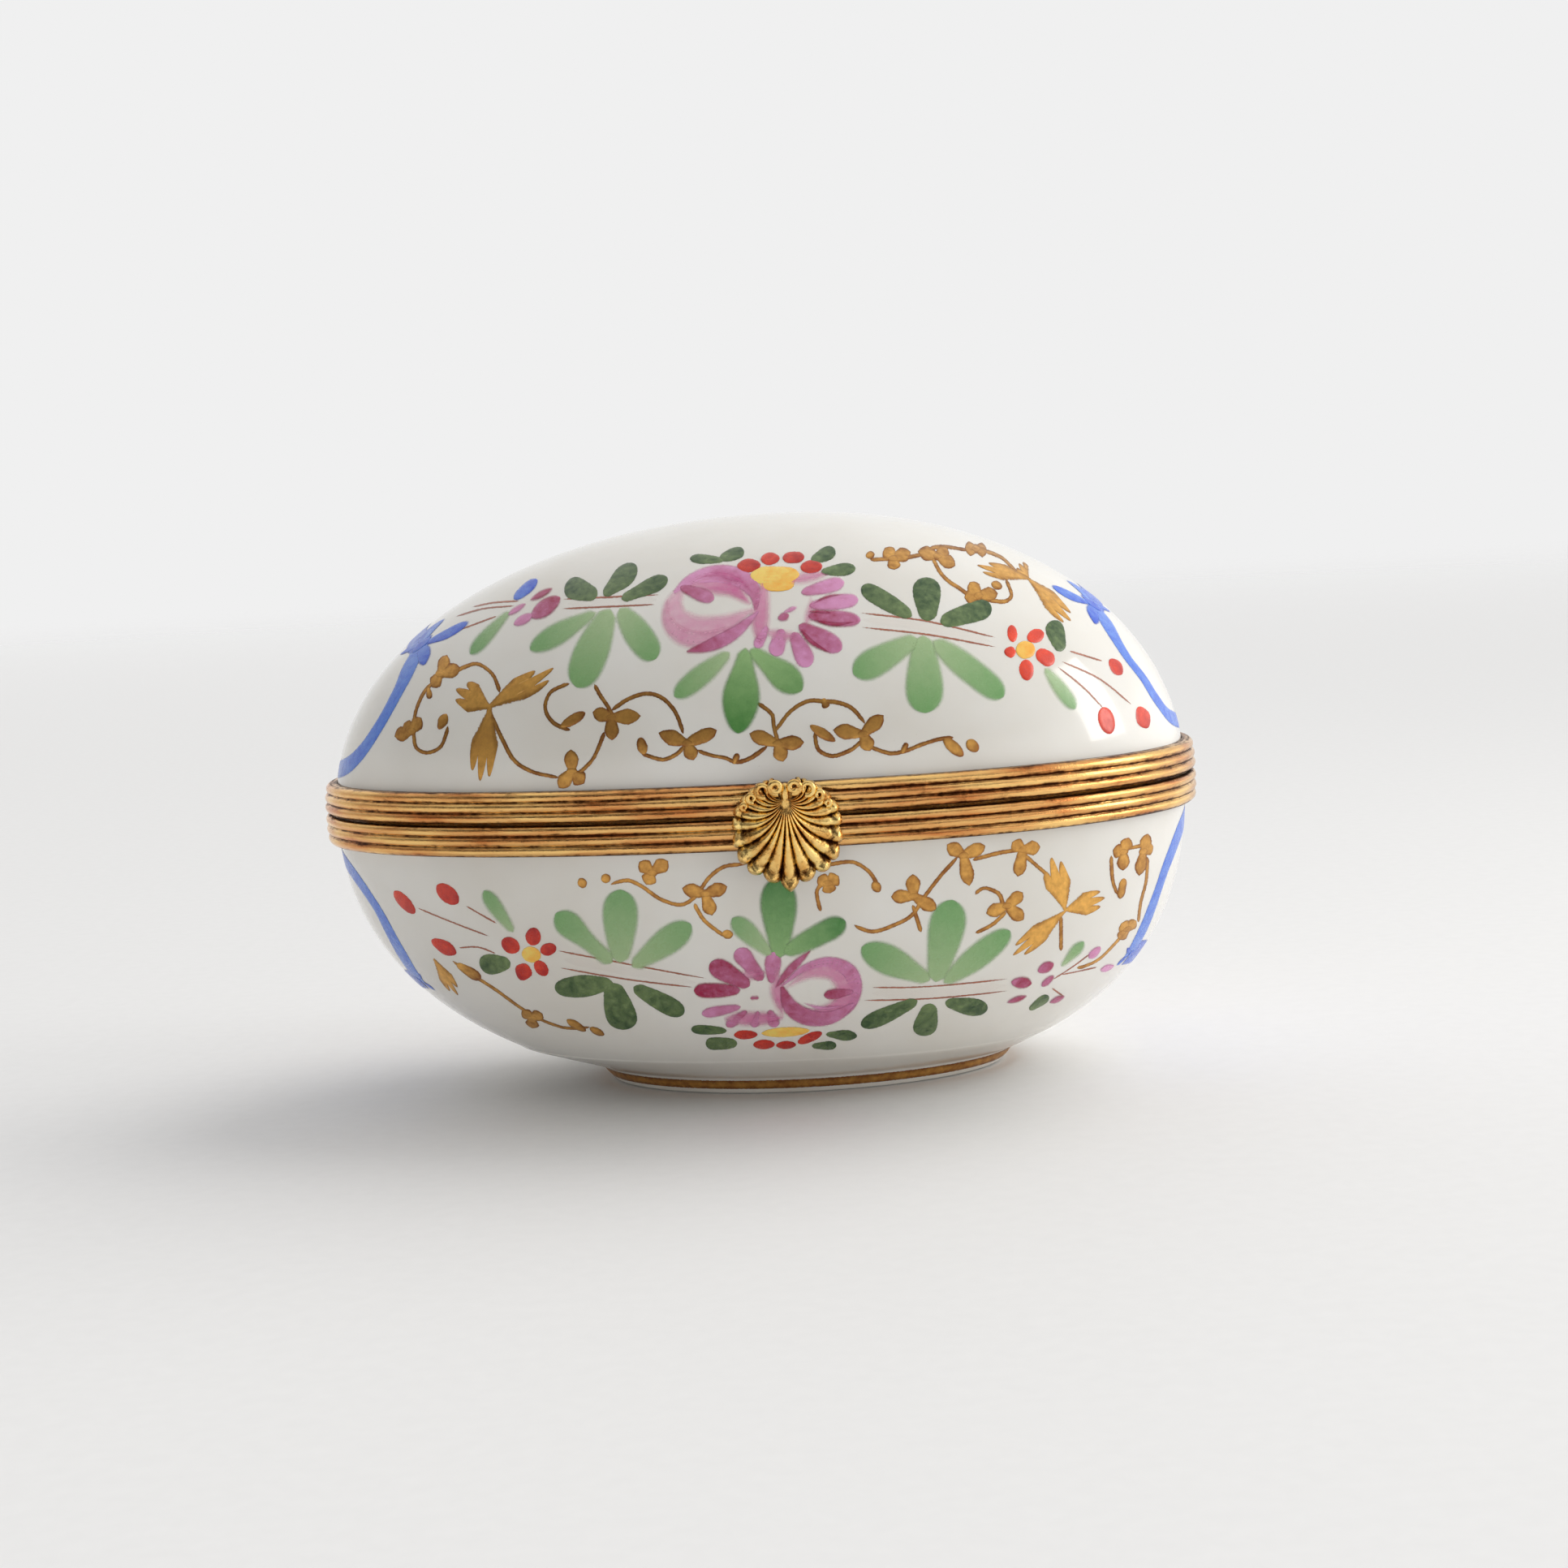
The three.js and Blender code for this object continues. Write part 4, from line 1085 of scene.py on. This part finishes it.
def paint_base_garland():
    on = Decorator("base")
    on.lines("stem_band", [
        [(-25, -15), (-19, -16.2), (-10.5, -18)], [(8, -20.2), (14, -20.8), (23, -20.8)],
    ], width=1.3, lift=0.01)
    on.lines("stem", [
        [(-25.5, -14), (-20.5, -15), (-9.5, -17.5)], [(-25.5, -16), (-18, -17.5), (-11, -18.5)],
        [(8, -19.5), (12.5, -20), (23, -20)], [(7, -21), (14, -21.5), (23, -21.5)],
        [(-41.5, -9.5), (-33, -12.5)], [(-35.5, -9), (-32, -11)],
        [(-37, -14), (-34.5, -13.5), (-32.5, -14.5)], [(29, -20.5), (33.5, -20.5)],
        [(28, -22), (29.5, -23.5)], [(28, -21), (31, -19.5), (32.5, -18.5)],
    ])
    on.leaves("leaf_pale", [
        [(-30.2, -12), (-33.2, -7.2), 2.5], [(-19.5, -15.5), (-25.3, -9.7), 3.5],
        [(-18.7, -15.5), (-18, -7.2), 4.6], [(-17.5, -16), (-10.7, -11.2), 3.7],
        [(-2.3, -15.2), (-6.3, -10.7), 2.9], [(14.5, -19.2), (7.2, -14.7), 4.0],
        [(15, -19.5), (17.1, -10.2), 4.7], [(15.8, -19.7), (23.3, -14.3), 3.7],
        [(29, -19.5), (31.7, -16.8), 2.0],
    ])
    on.leaves("leaf_mid", [[(-1.5, -15.5), (-1.2, -6.5), 4.5], [(-1.2, -15), (5.7, -11.7), 3.4]])
    on.leaves("leaf_dark", [
        [(-31, -15.5), (-34.7, -16), 2.7], [(-19.7, -17.8), (-26.3, -18.6), 2.9],
        [(-19.8, -17.8), (-19, -23.7), 3.8], [(-17.5, -18.3), (-12.3, -21.7), 2.6],
        [(-7.8, -24), (-11.7, -23.7), 1.5], [(-6.8, -25.7), (-10.3, -25.7), 2.1],
        [(2.9, -25), (6.3, -25.5), 1.5], [(1.3, -26.5), (4, -26.6), 1.4],
        [(13, -21.5), (6.8, -24.2), 2.3], [(14.4, -22), (13.5, -26.2), 2.9],
        [(16, -22), (20.7, -23.6), 2.4], [(25.5, -24.5), (27.7, -23), 1.5],
    ], tone=(0.4, 0.8), lift=0.05)
    on.buds("red", [
        [(-44.2, -7.8), (-41.8, -10.2), 1.7], [(-38.7, -6.8), (-36.3, -8.7), 2.1],
        [(-40.2, -13.3), (-37.3, -14.7), 1.8],
    ], tone=(0.4, 0.8))
    on.buds("yellow", [[(-29.6, -14.5), (-27.4, -14.5), 2.0], [(-4.1, -24.5), (1.2, -24.4), 1.4]])
    on.buds("red", [
        [(-29.8, -14), (-31.7, -12.9), 2.0], [(-28.4, -13.4), (-27.7, -11.4), 1.8],
        [(-27.4, -14.2), (-25.6, -13.5), 1.5], [(-29.2, -15.6), (-30.1, -17.6), 1.9],
        [(-28, -15.2), (-27.1, -17), 1.6], [(-7.1, -24.6), (-4.5, -24.6), 1.3],
        [(-5.1, -26), (-2.7, -26), 1.4], [(-2.6, -26.2), (-0.4, -26.2), 1.2],
        [(-0.2, -26), (2.5, -24.7), 1.3],
    ], tone=(0.5, 0.9), lift=0.09)
    on.buds("pink", [
        [(23.3, -20.4), (25.7, -21), 1.8], [(26.3, -19.6), (28.2, -18.9), 1.7],
        [(26.8, -21.6), (28.2, -20.4), 1.3], [(22.8, -23), (25.2, -22.5), 1.1],
        [(27.8, -24), (29.7, -23.5), 1.2],
    ], tone=(0.55, 0.95))
    on.buds("pink", [[(32.3, -19.1), (33.7, -17.9), 1.5], [(33.8, -21), (35.7, -21), 1.3]], tone=(0.0, 0.2))
    # the rose
    on.sweeps("pink_wash", [
        [(-1, -18.9), (1.5, -17), (4.5, -16.8), (5.9, -19), (5.2, -21.5), (2, -22.7), (-1, -21.5), 3.2],
    ], tone=(0.4, 0.8))
    on.sweeps("pink", [
        [(-1.5, -18.7), (0.8, -16.6), (3.5, -16), (6, -17), (6.6, -19.3), (6, -21.7), (4.8, -23), 1.9],
    ], tone=(0.2, 0.4))
    on.sweeps("pink", [
        [(-1.5, -18.8), (-1.0, -21.6), (1.2, -23), (3.8, -23.2), (6.2, -21.3), 2.5],
    ], tone=(0.75, 0.35), lift=0.05)
    on.sweeps("pink", [[(-2.2, -18.9), (-0.4, -16.6), (1.8, -14.8), 1.3]], tone=(0.7, 0.95), lift=0.06)
    on.sweeps("pink", [[(0.7, -20.9), (2.6, -22), (5.3, -21.4), 0.8]], tone=(0.2, 0.2), lift=0.05)
    on.leaves("pink", [[(6.2, -19.8), (2.9, -20.1), 1.7]], tone=(0.5, 0.85), lift=0.06)
    # the daisy
    on.sweeps("pink_wash", [
        [(-1.8, -16.4), (-2.2, -19), (-1.6, -22.6), 2.2], [(-8, -22.4), (-5, -22.6), (-1.6, -22.6), 2.8],
        [(-6.6, -18), (-5.2, -17.2), (-3, -17), 2.0],
    ], tone=(0.5, 0.8))
    on.leaves("pink", [
        [(-3.5, -18), (-6, -14.2), 2.5], [(-2.6, -18.4), (-2.1, -14.7), 2.2],
        [(-6, -21), (-10.4, -21.8), 1.8], [(-5.4, -21.5), (-7.8, -23.5), 1.6],
        [(-4.2, -21.6), (-4.9, -23.7), 1.4], [(-3, -21.5), (-2.5, -23.8), 1.7],
    ], tone=(0.7, 0.35), streak=0.15)
    on.leaves("pink", [
        [(-4.9, -18.6), (-9, -15.7), 2.9], [(-5.9, -19), (-11, -18.9), 2.4],
    ], tone=(0.8, 1.0), lift=0.05, streak=0.15)
    on.buds("pink", [[(-5, -20), (-4, -20), 0.9]], tone=(0.6, 0.7))
    paint_base_gold(on)
    on.finish()


def paint_base_gold(on):
    on.vines([
        [
            (-18.5, -6.5), (-17, -6), (-15.5, -7), (-14, -8.5), (-11.5, -9.5),
            (-10, -8.5), (-8.5, -6), (-7, -5), (-5, -5),
        ],
        [(-10, -9.5), (-9.5, -11), (-7.5, -12.5)],
        [(-37.5, -16), (-35.5, -17.5), (-33, -19), (-31, -21), (-29, -22.5), (-26, -24), (-23.5, -23.5)],
        [(3.5, -7.5), (2.5, -8), (3, -10)], [(4.5, -5.5), (7, -5), (8.5, -6.5), (9, -7.5)],
        [(7, -12.5), (8.5, -13.5), (10.5, -12.5), (13, -12), (14, -9.5), (16, -7.5), (17.5, -6)],
        [(13, -11), (13.5, -13)], [(20, -6), (22.5, -5.5), (24.5, -5.5)], [(25, -6), (27.5, -8.5)],
        [(20, -9.5), (20.5, -9), (22.5, -10), (22.5, -11)], [(22.5, -12.5), (21.5, -13.5), (20, -14)],
        [(29, -14), (29, -17)], [(37, -7), (38.5, -7)], [(35, -8), (35, -10.5), (35.5, -11.5)],
        [(39.5, -9), (39.5, -11.5), (38.5, -13.5), (38.5, -15.5)],
        [(36, -17.5), (33.5, -20), (31.5, -20)],
    ])
    on.florets([
        [(-14.5, -5.5), (-15.8, -4.3), (-12.7, -4.3), (-15.2, -6.8)],
        [(-9, -8), (-11.4, -7.3), (-6.6, -7.3), (-8.4, -10.4)],
        [(-29.5, -22.5), (-30.6, -21.6), (-28.2, -21.8), (-29.8, -24)],
        [(4, -7.5), (3, -6.8), (5.2, -6.8), (4.2, -8.6)],
        [(13, -9.5), (13, -7.1), (10.6, -9.4), (15.4, -11.2)],
        [(18.5, -5.5), (16.8, -4.2), (20.9, -4.7), (19, -8.9)],
        [(25, -5.5), (24.3, -8.4), (26.9, -5.4), (23.8, -4.6)],
        [(23, -11.5), (24.8, -10.2), (24.8, -13.3), (20.7, -12.1)],
        [(36.5, -7.3), (35.2, -6.9), (37.2, -5.8), (36.4, -9.4)],
        [(39, -7.7), (39.6, -5.8), (40.3, -7.4), (38.4, -10.4)],
        [(37, -16.5), (38.2, -15.8), (36, -17.6), (36.2, -15.6)],
    ])
    on.buds("gold", [
        [(-22.6, -6.6), (-21.6, -6.3), 1.2], [(-20, -6.2), (-19, -5.8), 1.1],
        [(-7.5, -12.5), (-6.3, -12.6), 1.1], [(-25.5, -22.5), (-23.5, -24), 1.2],
        [(-23, -23.5), (-21.5, -24.5), 1.1], [(8.8, -7.6), (9.4, -8.8), 1.1],
        [(36.5, -10.3), (36, -12.6), 1.2],
    ])
    on.lobed_leaves([
        [(29.5, -12.8), (28.4, -6.6), 3.1], [(29.4, -12.8), (34.2, -12.2), 2.9],
        [(29.5, -12.9), (23.4, -17.1), 2.6], [(-40.3, -15.6), (-38, -20.2), 2.2],
    ])
    on.leaves("gold", [[(-37.5, -16), (-34.8, -17.7), 1.6]])


BOW = [
    # a loop's or a tail's way from the knot, sideways and outwards, and its width
    ([(0, 0), (2.4, 2.6), (4.0, 1.0), (0, 0)], 1.6),
    ([(0, 0), (-2.8, 3.0), (-4.0, 1.2), (0, 0)], 1.6),
    ([(0, 0), (2.6, -0.8), (4.4, -2.0)], 1.4),
    ([(0, 0), (-2.2, -0.2), (-4.0, -1.0)], 1.3),
]


def paint_ribbons():
    """Each half carries an oval ring of blue ribbon on each end, tied with a bow at its outer side."""
    rings = [
        ("lid", "right_end", [
            (-9, 19.5), (-9.5, 18.5), (-12.5, 16), (-13.5, 13.5), (-12.5, 11), (-12, 8.5), (-11, 6),
        ]),
        ("base", "right_end", [(-9.5, -6), (-12.5, -9.5), (-13.5, -13), (-13, -16.5), (-12, -20)]),
        ("lid", "left_end", [(-10.5, 19), (-12, 17.5), (-14.5, 15), (-15.5, 11), (-13.5, 7), (-11, 5.5)]),
        ("base", "left_end", [(-11, -5.5), (-14.5, -9.5), (-14, -14.5), (-11, -19)]),
    ]
    for body, view, path in rings:
        on = Decorator(body, views=(view,))
        outer = 1 if body == "lid" else -1
        near, far = (path[0], path[-1]) if abs(path[0][1]) > abs(path[-1][1]) else (path[-1], path[0])
        loop = path if near == path[0] else path[::-1]
        far_middle, near_middle = (0, far[1] - outer * 1.2), (0, near[1] + outer * 2.3)
        loop = loop + [far_middle] + [(-y, z) for y, z in reversed(loop)] + [near_middle, loop[0]]
        width = 3.2 if (body, view) == ("base", "right_end") else 2.4
        on.paint("blue", [loop], even, width, tone=(0.4, 0.8))
        size = 1.0 if body == "lid" else 0.5
        for side in (1, -1):
            y, z = side * near[0], near[1]
            out = -side  # near[0] is below 0, so this side's ring lies towards -side
            ways = [
                [(y + out * across * size, z + outer * rise * size) for across, rise in way] + [width * size]
                for way, width in BOW
            ]
            on.sweeps("blue", ways, tone=(0.4, 0.9), lift=0.05)
            on.buds("blue", [[(y - size, z), (y + size, z), 1.9 * size]], tone=(0.7, 0.9), lift=0.08)
        on.finish()


# ---------------------------------------------------------------- floor, light, camera

FLOOR_FADE = (0.25, 3.0)  # metres from the box, between which the floor fades out


def floor():
    """A pale sheet under the box, which fades into the room's own brightness far off."""
    mesh = bpy.data.meshes.new("floor")
    half = FLOOR_FADE[1]
    corners = [(-half, -half, 0), (half, -half, 0), (half, half, 0), (-half, half, 0)]
    mesh.from_pydata(corners, [], [(0, 1, 2, 3)])
    ground = bpy.data.objects.new("floor", mesh)
    bpy.context.scene.collection.objects.link(ground)
    shader = Shader("paper")
    grain = shader.noise(2.0, 4.0)
    colour = shader.mix(grain, rgb(238, 238, 238), rgb(233, 233, 233))
    away = shader.node("ShaderNodeVectorMath", {0: shader.place}, operation="LENGTH").outputs["Value"]
    fade = shader.remap(away, *FLOOR_FADE, 1.0, 0.0, smooth=True)
    rough = shader.remap(grain, 0.0, 1.0, 0.6, 0.75)
    mesh.materials.append(shader.feed(Base_Color=colour, Roughness=rough, Alpha=fade))


LIGHT_SIDE = Vector((0.42, 0.62, 0.66)).normalized()  # the room's bright side: right, behind and above
ROOM_TURN = (-0.38, 0.66)  # how far to the bright side the room starts and ends its change
ROOM_DARK, ROOM_LIGHT = rgb(42, 35, 29), rgb(240, 240, 240)
HORIZON_DIM, HORIZON_BRIGHT = rgb(200, 196, 190), (1.4, 1.37, 1.32, 1.0)  # on the left and on the right
HORIZON_TURN = (0.35, 0.95)  # how far sideways the horizon starts and ends its change
HORIZON_RISE = (0.2, 0.34)  # the sines of the heights between which the horizon gives way to the room
LAMP_COLOUR = (1.0, 0.98, 0.95)
SUN_PLACE, SUN_ENERGY, SUN_ANGLE = Vector((0.6, 0.42, 0.7)), 1.15, math.radians(48)
WINDOW_PLACE, WINDOW_AIM = Vector((0.445, -0.03, 0.215)), Vector((0, 0, 0.04))
WINDOW_SIZE, WINDOW_WATTS = (0.16, 0.22), 0.45


def room_light():
    """A room that is white behind and above and a warm dark grey in front, round a pale horizon that is
    dimmer on the left and brighter on the right."""
    world = bpy.data.worlds.new("studio")
    bpy.context.scene.world = world
    world.use_nodes = True
    room = Nodes(world.node_tree)
    place = room.node("ShaderNodeTexCoord").outputs["Generated"]
    towards = room.node("ShaderNodeVectorMath", {0: place, 1: LIGHT_SIDE}, operation="DOT_PRODUCT")
    facing = room.remap(towards.outputs["Value"], *ROOM_TURN, smooth=True)
    axes = room.node("ShaderNodeSeparateXYZ", {0: place}).outputs
    start, end = HORIZON_TURN
    right = room.mix(room.remap(axes["X"], start, end, smooth=True), ROOM_LIGHT, HORIZON_BRIGHT)
    horizon = room.mix(room.remap(axes["X"], -end, -start, smooth=True), HORIZON_DIM, right)
    walls = room.mix(facing, ROOM_DARK, ROOM_LIGHT)
    colour = room.mix(room.remap(axes["Z"], *HORIZON_RISE, smooth=True), horizon, walls)
    room.tree.links.new(colour, room.tree.nodes["Background"].inputs["Color"])
    bpy.context.scene.view_settings.view_transform = "Standard"


def lamp(name, kind, place, **settings):
    """A lamp that shines from the direction of place."""
    light = bpy.data.lights.new(name, kind)
    light.color = LAMP_COLOUR
    for key, value in settings.items():
        setattr(light, key, value)
    piece = bpy.data.objects.new(name, light)
    piece.rotation_euler = place.to_track_quat("Z", "Y").to_euler()
    bpy.context.scene.collection.objects.link(piece)
    return piece


def lamps():
    sky = lamp("sky", "SUN", SUN_PLACE, energy=SUN_ENERGY, angle=SUN_ANGLE)
    sky.visible_glossy = False  # the glaze mirrors the window, not this wide soft light
    width, height = WINDOW_SIZE
    window = lamp(
        "window", "AREA", WINDOW_PLACE - WINDOW_AIM,
        shape="RECTANGLE", energy=WINDOW_WATTS, size=width, size_y=height,
    )
    window.location = WINDOW_PLACE
    window.visible_camera = False


CAMERA_PLACE = (0.0081, -0.3035, 0.06336)
CAMERA_YAW, CAMERA_ELEVATION, CAMERA_ROLL = -1.0, 5.6, -3.1  # degrees
LENS = 59.63  # mm, on a 36 mm sensor


def camera():
    yaw, elevation, roll = (math.radians(v) for v in (CAMERA_YAW, CAMERA_ELEVATION, CAMERA_ROLL))
    flat = math.cos(elevation)
    forward = Vector((math.sin(yaw) * flat, math.cos(yaw) * flat, -math.sin(elevation)))
    level = Vector((math.cos(yaw), -math.sin(yaw), 0))
    above = level.cross(forward)
    right = level * math.cos(roll) + above * math.sin(roll)
    up = above * math.cos(roll) - level * math.sin(roll)
    data = bpy.data.cameras.new("main_view")
    data.sensor_width, data.lens, data.clip_start = 36.0, LENS, 0.01
    view = bpy.data.objects.new("main_view", data)
    bpy.context.scene.collection.objects.link(view)
    view.matrix_world = Matrix.Translation(CAMERA_PLACE) @ Matrix((right, up, -forward)).transposed().to_4x4()
    bpy.context.scene.camera = view


lid_shell()
base_shell()
foot_line()
bezel("lid_reeded_bezel", 1, COLLAR_OUTSIDE + 0.25, "lid_bezel")
bezel("base_reeded_bezel", -1, COLLAR_OUTSIDE, "base_bezel")
collar()
knuckles()
hinge_wire()
leaf_plates()
clasp_workings()
beddings()
shell_clasp()
paint_lid_garland()
paint_base_garland()
paint_ribbons()
floor()
room_light()
lamps()
camera()
